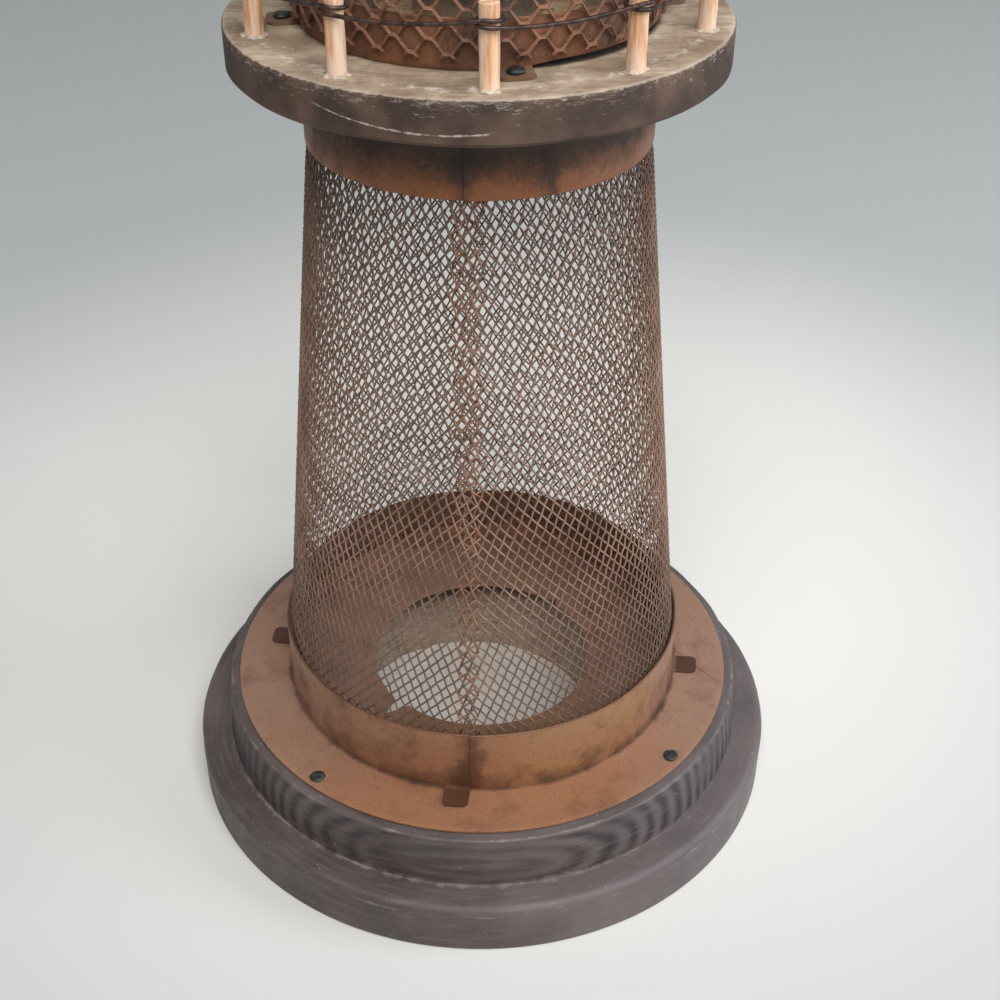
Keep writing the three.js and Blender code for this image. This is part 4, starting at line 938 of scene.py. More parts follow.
def weathered_deck(top_height):
    """Old painted board: grey weathered grain on top, dark paint on the side, bare pale wood at the rim."""
    material, tree, shader, place = new_material("weathered_pine_board")
    angle, radius, height = around_axis(tree, place)

    # Top: grain runs along X, in streaks a few millimetres wide
    drawn = add_node(tree, "VectorMath", {0: place, 1: (0.16, 1, 1)}, operation="MULTIPLY")
    grain = add_node(tree, "TexNoise", {"Vector": drawn, "Scale": 1 / (2 * MM), "Detail": 6,
                                        "Roughness": 0.75, "Distortion": 0.4})
    top, cloud = blotched(tree, DECK_TOP, DECK_TOP_PALE, place, 18 * MM, 0.4, 0.65, detail=4)
    top = laid_over(tree, top, DECK_STREAK, grain, 0.48, 0.68, 0.6)
    top = blotched(tree, top, DECK_STREAK, place, 11 * MM, 0.44, 0.64, 0.7, detail=6, rough=0.65)[0]

    # Chalky marks along the ring of dowels
    off_dowels = apart_from(tree, radius, DOWEL_CIRCLE)
    chalk = add_node(tree, "TexNoise", {"Vector": place, "Scale": 1 / (5 * MM), "Detail": 7,
                                        "Roughness": 0.75})
    chalked = add_node(tree, "Math", {0: chalk, 1: -30 * MM, 2: off_dowels}, operation="MULTIPLY_ADD")
    top = laid_over(tree, top, DECK_CHALK, chalked, -14 * MM, -19 * MM, 0.75)

    # Side: two tones of dark paint in soft clouds
    side = laid_over(tree, DECK_SIDE_DARK, DECK_SIDE, cloud, 0.42, 0.6)

    # The scratch dips along the side, and is broken where it was lighter
    off_middle = add_node(tree, "Math", {0: angle, 1: math.radians(SCRATCH_MIDDLE)}, operation="SUBTRACT")
    bow = add_node(tree, "Math", {0: off_middle, 1: off_middle}, operation="MULTIPLY")
    line = add_node(tree, "Math", {0: bow, 1: SCRATCH_RISE, 2: SCRATCH_DIP}, operation="MULTIPLY_ADD")
    nearby = apart_from(tree, height, line)
    wander = add_node(tree, "TexNoise", {"Vector": place, "Scale": 1 / (2.5 * MM), "Detail": 6,
                                         "Roughness": 0.75})
    ragged = add_node(tree, "Math", {0: wander, 1: -1.6 * MM, 2: nearby}, operation="MULTIPLY_ADD")
    begun = add_node(tree, "MapRange", {"Value": angle, "From Min": math.radians(SCRATCH_FROM),
                                        "From Max": math.radians(SCRATCH_FROM + 5), "To Max": 0.85})
    ended = add_node(tree, "MapRange", {"Value": angle, "From Min": math.radians(SCRATCH_TO),
                                        "From Max": math.radians(SCRATCH_TO - 1), "To Max": begun})
    side = laid_over(tree, side, DECK_WORN, ragged, -0.5 * MM, -0.8 * MM, ended)

    # Bare wood where side and top meet, ragged on both, and fine pale scratches under the rim
    uneven = add_node(tree, "Math", {0: wander, 1: 1.2 * MM, 2: height}, operation="MULTIPLY_ADD")
    topped = add_node(tree, "MapRange", {"Value": uneven, "From Min": top_height + 0.1 * MM,
                                         "From Max": top_height + 0.4 * MM})
    strewn = add_node(tree, "VectorMath", {0: place, 1: (1, 1, 3)}, operation="MULTIPLY")
    scratch = add_node(tree, "TexNoise", {"Vector": strewn, "Scale": 1 / (3.2 * MM), "Detail": 7,
                                          "Roughness": 0.8})
    below = add_node(tree, "MapRange", {"Value": height, "From Min": top_height - 9 * MM,
                                        "From Max": top_height, "To Max": 0.16})
    scratched = add_node(tree, "Math", {0: scratch, 1: below}, operation="ADD")
    side = laid_over(tree, side, DECK_WORN, scratched, 0.66, 0.8, 0.7)
    colour = add_node(tree, "MixRGB", {"Fac": topped, "Color1": side, "Color2": top})
    rim_share = add_node(tree, "Math", {0: topped, 1: 0.4}, operation="MULTIPLY")
    colour = laid_over(tree, colour, DECK_WORN, radius, DECK_RIM_FROM, DECK_RIM_FULL, rim_share)

    # Painted shade in a ring on the deck under the foot of the room's band, where the band stands off the
    # deck
    off_band = apart_from(tree, radius, BAND_SHADE_RING)
    colour = laid_over(tree, colour, DECK_SHADE_UNDER_BAND, off_band, 3 * MM, 1.5 * MM, 0.9)
    bump = add_node(tree, "Bump", {"Height": grain, "Distance": 0.35 * MM, "Strength": 0.6})
    shine = add_node(tree, "MapRange", {"Value": topped, "To Min": 0.66, "To Max": 0.85})
    fill(tree, shader, {"Base Color": colour, "Normal": bump, "Roughness": shine,
                        "Specular IOR Level": 0.35})
    return material


deck_low, deck_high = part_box("gallery_deck")
deck_radius = deck_high.x
deck_section = [
    (0, deck_low.z),
    (deck_radius - DECK_EDGE, deck_low.z),
    (deck_radius, deck_low.z + DECK_EDGE),
    *arc((deck_radius - DECK_EDGE, deck_high.z - DECK_EDGE), DECK_EDGE, 0, 90, 4),
    (0, deck_high.z),
]
deck = spun("deck_board", fine(deck_section, DECK_STEP), DECK_STEPS)


def on_deck_rim(place):
    """1 along the deck's upper rim, and less away from it."""
    away = math.hypot(math.hypot(place.x, place.y) - deck_radius, place.z - deck_high.z)
    return max(0.0, 1 - away / DECK_RIM_BAND)


roughen(deck, depth=0.3 * MM, lump=18 * MM,
        share=lambda place: min(1.0, math.hypot(place.x, place.y) / deck_radius) ** 8)
roughen(deck, depth=0.5 * MM, lump=2.0 * MM, share=on_deck_rim, bites=True)
coat(deck, weathered_deck(deck_high.z))
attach(deck, "lantern")
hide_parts("gallery_deck")

# Balusters: short lengths of birch dowel glued into the deck near its rim, whitewashed so that the pale
# wash stays in the grain. The glue has squeezed out round each foot and dried white.
DOWEL_COUNT = 10
DOWEL_STEPS = 20
DOWEL_ROWS = 16
DOWEL_CHAMFER = 0.4 * MM
DOWEL_WOOD = "#e8b28a"
DOWEL_DARK = "#bd8861"
DOWEL_WASH = "#e9d0b8"
GLUE = "#cfc4b3"
GLUE_REACH = 1.1 * MM
GLUE_RISE = 0.6 * MM


def limed_birch():
    """Birch dowel under a thin whitewash: fine upright grain, pale under the wash and brown where worn."""
    material, tree, shader, place = new_material("limed_birch_dowel")
    drawn = add_node(tree, "VectorMath", {0: place, 1: (1, 1, 0.08)}, operation="MULTIPLY")
    colour, grain = blotched(tree, DOWEL_DARK, DOWEL_WOOD, drawn, 0.9 * MM, 0.35, 0.65, detail=4, rough=0.6)
    wash = add_node(tree, "TexNoise", {"Vector": drawn, "Scale": 1 / (2.2 * MM), "Detail": 5,
                                       "Roughness": 0.7})
    height = around_axis(tree, place)[2]
    near_foot = add_node(tree, "MapRange", {"Value": height, "From Min": deck_high.z + 7 * MM,
                                            "From Max": deck_high.z + MM, "To Max": 0.14})
    washed = add_node(tree, "Math", {0: wash, 1: near_foot}, operation="ADD")
    colour = laid_over(tree, colour, DOWEL_WASH, washed, 0.44, 0.62, 0.8)
    bump = add_node(tree, "Bump", {"Height": grain, "Distance": 0.2 * MM, "Strength": 0.6})
    fill(tree, shader, {"Base Color": colour, "Normal": bump, "Roughness": 0.75})
    return material


def dried_glue():
    """Wood glue dried to a chalky, slightly yellow white."""
    material, tree, shader, place = new_material("dried_wood_glue")
    colour, lumps = blotched(tree, DECK_TOP, GLUE, place, 1.5 * MM, 0.35, 0.7, detail=3)
    bump = add_node(tree, "Bump", {"Height": lumps, "Distance": 0.3 * MM, "Strength": 0.7})
    fill(tree, shader, {"Base Color": colour, "Normal": bump, "Roughness": 0.6})
    return material


dowel_low, dowel_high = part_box("baluster_01")
dowel_radius = (dowel_high.x - dowel_low.x) / 2
dowel_section = [
    (0, dowel_low.z),
    (dowel_radius, dowel_low.z),
    (dowel_radius, dowel_high.z - DOWEL_CHAMFER),
    (dowel_radius - DOWEL_CHAMFER, dowel_high.z),
    (0, dowel_high.z),
]
dowel_row = (dowel_high.z - dowel_low.z) / DOWEL_ROWS
glue_section = [
    (dowel_radius - 0.1 * MM, deck_high.z - 0.4 * MM),
    (dowel_radius + GLUE_REACH, deck_high.z - 0.4 * MM),
    (dowel_radius + GLUE_REACH, deck_high.z + 0.1 * MM),
    (dowel_radius + 0.45 * GLUE_REACH, deck_high.z + 0.35 * GLUE_RISE),
    (dowel_radius + 0.1 * GLUE_REACH, deck_high.z + GLUE_RISE),
    (dowel_radius - 0.1 * MM, deck_high.z + GLUE_RISE),
    (dowel_radius - 0.1 * MM, deck_high.z - 0.4 * MM),
]
dowel_finish = limed_birch()
glue_finish = dried_glue()
for number in range(1, DOWEL_COUNT + 1):
    low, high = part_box(f"baluster_{number:02d}")
    stand = Vector(((low.x + high.x) / 2, (low.y + high.y) / 2, 0))
    dowel = spun(f"dowel_{number:02d}", fine(dowel_section, dowel_row), DOWEL_STEPS)
    dowel.data.transform(Matrix.Translation(stand))
    roughen(dowel, depth=0.15 * MM, lump=4 * MM)
    coat(dowel, dowel_finish)
    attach(dowel, "lantern")
    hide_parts(f"baluster_{number:02d}")
    glue = spun(f"glue_{number:02d}", glue_section, DOWEL_STEPS)
    glue.data.transform(Matrix.Translation(stand))
    roughen(glue, depth=0.9 * MM, lump=2.1 * MM,
            share=lambda place: 1.0 if (place - stand).xy.length > dowel_radius else 0.0)
    coat(glue, glue_finish, degrees=60)
    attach(glue, "lantern")

# Rail: one length of dark steel wire, taken once round each dowel while it drops a little, and climbing
# again on its way to the next. Its last turn lies above its first, and the ends stick out.
RAIL_RADIUS = 0.6 * MM
RAIL_CLEAR = 0.3 * MM
RAIL_BELOW_TOP = 3.9 * MM
RAIL_PITCH = 1.7 * MM
RAIL_STEPS = 30
RAIL_FIRST = 5
RAIL_TAIL = 3.5 * MM
RAIL_SAG = 1.3 * MM
RAIL_BOW = 0.8 * MM
DOWEL_OFFSET = 3
STEEL = "#53413a"
STEEL_DARK = "#332825"
STEEL_RUST = "#7c5139"


def oiled_steel():
    """Annealed steel wire under old oil: dark brown and a little shiny, with specks of rust."""
    material, tree, shader, place = new_material("annealed_steel_wire")
    colour = blotched(tree, STEEL_DARK, STEEL, place, 3 * MM, 0.4, 0.62, detail=5)[0]
    colour, rust = blotched(tree, colour, STEEL_RUST, place, 1.2 * MM, 0.56, 0.7, 0.8, detail=3)
    bump = add_node(tree, "Bump", {"Height": rust, "Distance": 0.06 * MM, "Strength": 0.6})
    fill(tree, shader, {"Base Color": colour, "Normal": bump, "Metallic": 0.6, "Roughness": 0.42})
    return material


def rail_route():
    """The wire's middle line, from its first tail to its last."""
    post_step = 360 / DOWEL_COUNT
    turn = 360 + post_step
    drop = RAIL_PITCH * turn / 360
    wrap_radius = dowel_radius + RAIL_CLEAR + RAIL_RADIUS
    rail_top = dowel_high.z - RAIL_BELOW_TOP
    points = []
    for wrap in range(DOWEL_COUNT + 1):
        sag_from = len(points)
        post_angle = DOWEL_OFFSET + post_step * (RAIL_FIRST + wrap)
        centre = on_circle(DOWEL_CIRCLE, post_angle, 0)
        arrival = rail_top if wrap < DOWEL_COUNT else rail_top + drop + RAIL_PITCH
        for step in range(RAIL_STEPS + 1):
            share = step / RAIL_STEPS
            wound = post_angle - post_step / 2 + turn * share
            points.append(centre + on_circle(wrap_radius, wound, arrival - drop * share))
        if wrap:
            start, stop = points[sag_from - 1], points[sag_from]
            outwards = ((start + stop) * Vector((1, 1, 0))).normalized()
            slack = outwards * RAIL_BOW - Vector((0, 0, RAIL_SAG))
            points[sag_from:sag_from] = [start.lerp(stop, share) + slack * 4 * share * (1 - share)
                                         for share in (0.12, 0.25, 0.37, 0.5, 0.63, 0.75, 0.88)]
    lead = (points[0] - points[1]) * Vector((1, 1, 0))
    tail = (points[-1] - points[-2]) * Vector((1, 1, 0))
    return [points[0] + lead.normalized() * RAIL_TAIL, *points, points[-1] + tail.normalized() * RAIL_TAIL]


steel_finish = oiled_steel()
rail = traced("gallery_rail", rail_route())
tube(rail, RAIL_RADIUS, roundness=2)
rail.data.materials.append(steel_finish)
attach(rail, "lantern")
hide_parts("rail_wire")

# Lantern room band: a strip of tin bent round on the deck, rusted orange brown. It is tacked down by four
# tabs, and its foot stands off the deck a little between them at the right.
ROOM_RADIUS = 51.4 * MM
BAND_HEIGHT = 13.4 * MM
BAND_TAB_FIRST = 10.4
BAND_TAB_HALF = 5.5
BAND_LAP = 100
BAND_LIFT = 1.8 * MM
BAND_LIFT_MIDDLE = 46
BAND_LIFT_HALF = 34
RUST_BROWN = "#6c4b3b"
RUST_ORANGE = "#8d5e42"
RUST_DARK = "#3e2a21"
RUST_PALE = "#b08763"
RUST_TAB = "#836a55"


def rusted_tin(name, tab_radius=1.0, brown=RUST_BROWN, orange=RUST_ORANGE):
    """Bare tinplate rusted through: matt orange and brown blooms, dark scale, pale rubbed high spots, and
    greyer tabs beyond a radius."""
    material, tree, shader, place = new_material(name)
    colour = blotched(tree, brown, orange, place, 14 * MM, 0.4, 0.62, detail=6, rough=0.65)[0]
    colour, scale = blotched(tree, colour, RUST_DARK, place, 5 * MM, 0.52, 0.66, 0.85, detail=7, rough=0.7)
    colour, grit = blotched(tree, colour, RUST_PALE, place, 0.8 * MM, 0.62, 0.75, 0.5, detail=3)
    radius = around_axis(tree, place)[1]
    colour = laid_over(tree, colour, RUST_TAB, radius, tab_radius, tab_radius + MM, 0.7)
    relief = add_node(tree, "Math", {0: scale, 1: 2.0, 2: grit}, operation="MULTIPLY_ADD")
    bump = add_node(tree, "Bump", {"Height": relief, "Distance": 0.15 * MM, "Strength": 0.6})
    shine = add_node(tree, "MapRange", {"Value": scale, "From Min": 0.4, "From Max": 0.65,
                                        "To Min": 0.5, "To Max": 0.8})
    fill(tree, shader, {"Base Color": colour, "Normal": bump, "Roughness": shine, "Metallic": 0.3})
    return material


band_low, band_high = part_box("room_band")
band = spun("lantern_room_band", band_section(ROOM_RADIUS, band_low.z, band_low.z + BAND_HEIGHT, 2 * MM),
            COLLAR_STEPS, BAND_TAB_FIRST + 0.5)
bend_tabs(band, BAND_TAB_FIRST, BAND_TAB_HALF, band_high.x - ROOM_RADIUS, band_low.z, band_low.z + TIN,
          ROOM_RADIUS)
for point in band.data.vertices:
    lifted = max(0.0, 1 - ((angle_of(point.co) - BAND_LIFT_MIDDLE) / BAND_LIFT_HALF) ** 4)
    if math.hypot(point.co.x, point.co.y) < ROOM_RADIUS + MM:
        from_top = (band_low.z + BAND_HEIGHT - point.co.z) / BAND_HEIGHT
        point.co.z += BAND_LIFT * lifted * from_top
lap_and_bow(band, BAND_LAP, bow=0.2 * MM, seed=9.1)
coat(band, rusted_tin("rusted_tinplate_band", ROOM_RADIUS + 2 * MM))
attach(band, "lantern")
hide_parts("room_band")
for number in range(1, 5):
    tack(f"band_tack_{number}", f"band_nail_{number}")

# Expanded metal sleeve: slit and stretched sheet, rolled round the band and held by its own spring. Its thin
# strands meet in short level bonds, the press left them tilted, and the snips cut just under a row of bonds.
SLEEVE_RADIUS = 52.6 * MM
DIAMOND_COUNT = 34
DIAMOND_HEIGHT = 7.6 * MM
BOND = 2.1 * MM
STRAND = 0.8 * MM
STRAND_TILT = 0.55 * MM
SLEEVE_GAUGE = 0.6 * MM
BOND_ABOVE_CUT = 1.2 * MM
SLEEVE_WAVER = 0.25 * MM
SLEEVE_WAVE = 16 * MM
SLEEVE_BEVEL = 0.16 * MM

sleeve_low, sleeve_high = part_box("room_mesh")
half_diamond = math.pi * SLEEVE_RADIUS / DIAMOND_COUNT
columns = 2 * DIAMOND_COUNT
rows = 2 * math.ceil((sleeve_high.z - sleeve_low.z) / DIAMOND_HEIGHT) + 4
clear_selection()
bpy.ops.mesh.primitive_grid_add(x_subdivisions=columns, y_subdivisions=rows, size=1)
sleeve = bpy.context.object
sleeve.name = sleeve.data.name = "expanded_metal_sleeve"
sleeve.data.transform(Matrix.Diagonal((columns, rows, 1, 1)))


def mid_opening(middle, way):
    """Every other level edge of the grid: it crosses an opening, and the ones between are the bonds."""
    column = math.floor(middle.x + columns / 2)
    row = round(middle.y + rows / 2)
    return abs(way.x) > 0.9 and (column + row) % 2 == 1


select_where(sleeve, "EDGE", mid_opening)
bpy.ops.mesh.dissolve_edges(use_verts=False)
bpy.ops.object.mode_set(mode="OBJECT")
for point in sleeve.data.vertices:
    column = round(point.co.x + columns / 2)
    row = round(point.co.y + rows / 2)
    to_bond = (half_diamond - BOND) / 2
    point.co.x = point.co.x * half_diamond + (-to_bond if (column + row) % 2 else to_bond)
    point.co.y = sleeve_low.z + BOND_ABOVE_CUT + (row - 2) * DIAMOND_HEIGHT / 2
bpy.ops.object.mode_set(mode="EDIT")
bpy.ops.mesh.select_mode(type="FACE")
bpy.ops.mesh.select_all(action="SELECT")
bpy.ops.mesh.inset(thickness=STRAND / 2, use_individual=True)
bpy.ops.object.mode_set(mode="OBJECT")
for face in sleeve.data.polygons:
    if face.select:
        for corner in face.vertices:
            place = sleeve.data.vertices[corner].co
            place.z = 2 * STRAND_TILT * (place.y - face.center.y) / DIAMOND_HEIGHT
bpy.ops.object.mode_set(mode="EDIT")
bpy.ops.mesh.delete(type="FACE")
for edge_height, way in ((sleeve_low.z, -1), (sleeve_high.z, 1)):
    bpy.ops.mesh.select_all(action="SELECT")
    bpy.ops.mesh.bisect(plane_co=(0, edge_height, 0), plane_no=(0, way, 0), clear_outer=True)
bpy.ops.object.mode_set(mode="OBJECT")
for point in sleeve.data.vertices:
    degrees = math.degrees(point.co.x / SLEEVE_RADIUS)
    waver = SLEEVE_WAVER * noise.noise(point.co / SLEEVE_WAVE)
    point.co = on_circle(SLEEVE_RADIUS + point.co.z + waver, degrees, point.co.y)
bpy.context.view_layer.objects.active = sleeve
bpy.ops.object.mode_set(mode="EDIT")
bpy.ops.mesh.select_all(action="SELECT")
bpy.ops.mesh.remove_doubles(threshold=5 * MERGE)
bpy.ops.object.mode_set(mode="OBJECT")
apply_modifier(sleeve, "SOLIDIFY", thickness=SLEEVE_GAUGE, offset=0)
apply_modifier(sleeve, "BEVEL", width=SLEEVE_BEVEL, segments=2, limit_method="ANGLE",
               angle_limit=math.radians(40))
rust_finish = rusted_tin("rusted_tinplate")
coat(sleeve, rust_finish, degrees=50)
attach(sleeve, "lantern")
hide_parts("room_mesh")

# Top hoop: a plain strip of the same tin inside the sleeve's upper edge, which keeps it round and takes
# the roof's skirt.
HOOP_LAP = 176
hoop_low, hoop_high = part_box("top_hoop")
hoop = spun("room_top_hoop", band_section(hoop_high.x, hoop_low.z, hoop_high.z, 2 * MM), COLLAR_STEPS)
lap_and_bow(hoop, HOOP_LAP, bow=0.12 * MM, seed=3.3)
coat(hoop, rust_finish)
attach(hoop, "lantern")
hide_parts("top_hoop")

# Drip pan: a shallow dish spun from pale tin and stained by rust, painted paler still to stand in for light
# inside the shaded room. It is set on the deck inside the room's band and catches the wax.
PAN_STEPS = 120
PAN_LEAN = 2.4 * MM
PAN_CORNER = 1.6 * MM
PAN_CORNER_INSIDE = 1.1 * MM
# Painted light: the pan's tin and rust are paler than the other rusted tin, for light the roof keeps out.
PAN_TIN_PAINTED_LIGHT = "#d8bf9f"
PAN_RUST_PAINTED_LIGHT = "#d6a676"
pan_low, pan_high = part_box("drip_pan")
pan_radius = pan_high.x
pan_section = [
    (0, pan_low.z),
    *arc((pan_radius - PAN_LEAN, pan_low.z + PAN_CORNER), PAN_CORNER, -90, -20, 5),
    (pan_radius - 0.3 * MM, pan_high.z - 0.4 * MM),
    (pan_radius, pan_high.z),
    (pan_radius - 0.6 * MM, pan_high.z),
    *arc((pan_radius - PAN_LEAN, pan_low.z + TIN + 1.2 * MM), PAN_CORNER_INSIDE, -20, -90, 5),
    (0, pan_low.z + TIN),
]
pan = spun("drip_dish", fine(pan_section, 2 * MM), PAN_STEPS)
coat(pan, rusted_tin("pale_tinplate_pan_painted_light", brown=PAN_TIN_PAINTED_LIGHT, orange=PAN_RUST_PAINTED_LIGHT))
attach(pan, "lantern")
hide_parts("drip_pan")

# Tealight: a pressed aluminium cup with a finely crimped wall, filled with white wax. A cotton wick stands
# in a tin foot on the cup's floor.
CUP_STEPS = 144
CUP_FOIL = 0.5 * MM
CUP_CRIMPS = 48
CUP_CRIMP_DEPTH = 0.22 * MM
FOIL = "#c7c9ca"
FOIL_DULL = "#9fa2a4"
WAX = "#efe9dc"
WAX_SHADE = "#e0d6c2"
COTTON = "#e6decb"
COTTON_SHADE = "#b7ab93"


def soft_foil():
    """Drawn aluminium foil: bright and scratched, with the press's faint rings."""
    material, tree, shader, place = new_material("pressed_aluminium_foil")
    colour, film = blotched(tree, FOIL_DULL, FOIL, place, 3 * MM, 0, 1, detail=5)
    bump = add_node(tree, "Bump", {"Height": film, "Distance": 0.08 * MM, "Strength": 0.4})
    fill(tree, shader, {"Base Color": colour, "Normal": bump, "Metallic": 1.0, "Roughness": 0.32})
    return material


def candle_wax():
    """Poured paraffin wax: milky, waxy in its shine and slightly uneven where it set."""
    material, tree, shader, place = new_material("paraffin_wax")
    colour, cloud = blotched(tree, WAX_SHADE, WAX, place, 6 * MM, 0, 1, detail=3)
    bump = add_node(tree, "Bump", {"Height": cloud, "Distance": 0.3 * MM, "Strength": 0.4})
    fill(tree, shader, {"Base Color": colour, "Normal": bump, "Roughness": 0.4, "Subsurface Weight": 0.3,
                        "Subsurface Radius": (2 * MM, 1.6 * MM, 1.2 * MM)})
    return material


def wick_cotton():
    """Braided cotton: off-white and matt, with the braid's slanting strands."""
    material, tree, shader, place = new_material("braided_cotton")
    braid = add_node(tree, "TexWave", {"Vector": place, "Scale": 1 / (6 * MM), "Distortion": 2.0},
                     wave_type="BANDS", bands_direction="DIAGONAL")
    colour = add_node(tree, "MixRGB", {"Fac": braid, "Color1": COTTON_SHADE, "Color2": COTTON})
    bump = add_node(tree, "Bump", {"Height": braid, "Distance": 0.2 * MM, "Strength": 0.6})
    fill(tree, shader, {"Base Color": colour, "Normal": bump, "Roughness": 0.9})
    return material


cup_low, cup_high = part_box("tealight_cup")
wax_low, wax_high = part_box("tealight_wax")
foot_low, foot_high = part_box("wick_sustainer")
wick_low, wick_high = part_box("wick")
cup_radius = cup_high.x - 0.8 * MM
cup_inner = cup_radius - CUP_FOIL
cup_section = [
    (0, cup_low.z),
    *arc((cup_radius - MM, cup_low.z + MM), MM, -90, 0, 4),
    (cup_radius, cup_high.z - 1.2 * MM),
    (cup_high.x, cup_high.z - 0.7 * MM),
    (cup_high.x, cup_high.z),
    (cup_inner, cup_high.z),
    (cup_inner, cup_low.z + CUP_FOIL),
    (0, cup_low.z + CUP_FOIL),
]
cup = spun("tealight_foil_cup", fine(cup_section, 1.5 * MM), CUP_STEPS)
for point in cup.data.vertices:
    reach = math.hypot(point.co.x, point.co.y)
    on_wall = reach > cup_inner - MM and cup_low.z + 1.5 * MM < point.co.z < cup_high.z - 1.5 * MM
    if on_wall:
        crimp = CUP_CRIMP_DEPTH * (math.cos(CUP_CRIMPS * math.radians(angle_of(point.co))) - 1)
        point.co += Vector((point.co.x, point.co.y, 0)) / reach * crimp
foil_finish = soft_foil()
coat(cup, foil_finish)
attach(cup, "tealight")
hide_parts("tealight_cup")

WAX_CREEP = 0.7 * MM
wax_radius = wax_high.x - 2 * CUP_CRIMP_DEPTH
wick_radius = (wick_high.x - wick_low.x) / 2
wax_section = [
    (foot_high.x + 0.3 * MM, wax_low.z),
    (wax_radius, wax_low.z),
    (wax_radius, wax_high.z),
    (wax_radius - 0.6 * MM, wax_high.z - 0.55 * WAX_CREEP),
    (wax_radius - 2 * MM, wax_high.z - WAX_CREEP),
    (wick_radius + 3 * MM, wax_high.z - WAX_CREEP),
    (wick_radius + 0.9 * MM, wax_high.z - 0.5 * WAX_CREEP),
    (wick_radius + 0.3 * MM, wax_high.z),
    (wick_radius + 0.3 * MM, foot_high.z + 0.3 * MM),
    (foot_high.x + 0.3 * MM, foot_high.z + 0.3 * MM),
    (foot_high.x + 0.3 * MM, wax_low.z),
]
wax = spun("tealight_wax_fill", fine(wax_section, 2 * MM), CUP_STEPS // 2)
coat(wax, candle_wax())
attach(wax, "tealight")
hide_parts("tealight_wax")

wick_foot_section = [
    (0, foot_low.z),
    (foot_high.x - 0.2 * MM, foot_low.z),
    (foot_high.x, foot_low.z + 0.2 * MM),
    (foot_high.x - 1.5 * MM, foot_low.z + 0.4 * MM),
    (wick_radius + 1.2 * MM, foot_high.z),
    (0, foot_high.z),
]
wick_foot = spun("wick_tin_foot", wick_foot_section, CUP_STEPS // 3)
coat(wick_foot, foil_finish)
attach(wick_foot, "tealight")
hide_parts("wick_sustainer")

WICK_LEAN = 0.5 * MM
WICK_POINTS = 24
wick_points = []
for i in range(WICK_POINTS + 1):
    share = i / WICK_POINTS
    height = wick_low.z + (wick_high.z - wick_low.z) * share
    lean = WICK_LEAN * max(0.0, share - 0.6) ** 2 / 0.16
    wick_points.append(Vector((lean, 0, height)))
wick = traced("candle_wick", wick_points)
tube(wick, wick_radius * 0.92, roundness=3)
roughen(wick, depth=0.15 * MM, lump=0.9 * MM)
wick.data.materials.append(wick_cotton())
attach(wick, "tealight")
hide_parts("wick")

# Roof: a cone of tin rolled with a soldered seam strip at the back, its eave turned over a wire. It lifts
# off, so that the tealight can be changed.
ROOF_SLOPE = 38
EAVE_BEAD = 1.3 * MM
SEAM_WIDTH = 6 * MM
SEAM_PROUD = 0.6 * MM
STEM_HOLE = 1.5 * MM
ROOF_DENT = 0.5 * MM
ROOF_DENT_LENGTH = 24 * MM

roof_low, roof_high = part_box("roof_cone")
cap_low, cap_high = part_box("roof_cap")
roof_fall = math.tan(math.radians(ROOF_SLOPE))
roof_wall = TIN / math.cos(math.radians(ROOF_SLOPE))
eave_radius = roof_high.x - EAVE_BEAD
bead_height = roof_low.z + EAVE_BEAD


def under_roof(radius):
    """Height of the roof's underside at a distance from the axis."""
    return bead_height - roof_wall / 2 + (eave_radius - radius) * roof_fall


bead_in = eave_radius - EAVE_BEAD
roof_section = [
    (STEM_HOLE, under_roof(STEM_HOLE)),
    (bead_in, under_roof(bead_in)),
    *arc((eave_radius, bead_height), EAVE_BEAD, -140, 115, 12),
    (bead_in, under_roof(bead_in) + roof_wall),
    (STEM_HOLE, under_roof(STEM_HOLE) + roof_wall),
    (STEM_HOLE, under_roof(STEM_HOLE)),
]
roof = spun("roof_tin_cone", fine(roof_section, 2.5 * MM))
score(roof, Vector((0, 0, 0)), Vector((1, 0, 0)), SEAM_WIDTH)
outwards = Vector((0, math.sin(math.radians(ROOF_SLOPE)), math.cos(math.radians(ROOF_SLOPE))))
select_where(roof, "FACE", lambda middle, normal: (
    abs(middle.x) < SEAM_WIDTH / 2 and cap_high.x + MM < middle.y < bead_in and normal.dot(outwards) > 0.9))
bpy.ops.mesh.extrude_region_move(TRANSFORM_OT_translate={"value": tuple(outwards * SEAM_PROUD)})
bpy.ops.object.mode_set(mode="OBJECT")
for point in roof.data.vertices:
    reach = math.hypot(point.co.x, point.co.y) / eave_radius
    point.co.z += ROOF_DENT * reach * noise.noise(Vector((point.co.x, point.co.y, 0)) / ROOF_DENT_LENGTH)
roof.data.update()
coat(roof, rust_finish)
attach(roof, "roof")
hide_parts("roof_cone")

# Roof skirt: a ring of the same rusted tin, soldered under the cone. It drops into the hoop and keeps the
# roof from sliding.
skirt_low, skirt_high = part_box("roof_skirt")
skirt_inner = skirt_high.x - TIN
skirt_section = [
    (skirt_inner, skirt_low.z),
    (skirt_high.x, skirt_low.z),
    (skirt_high.x, skirt_high.z - TIN * roof_fall),
    (skirt_inner, skirt_high.z),
    (skirt_inner, skirt_low.z),
]
skirt = spun("roof_inner_skirt", fine(skirt_section, 2 * MM))
coat(skirt, rust_finish)
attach(skirt, "roof")
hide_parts("roof_skirt")

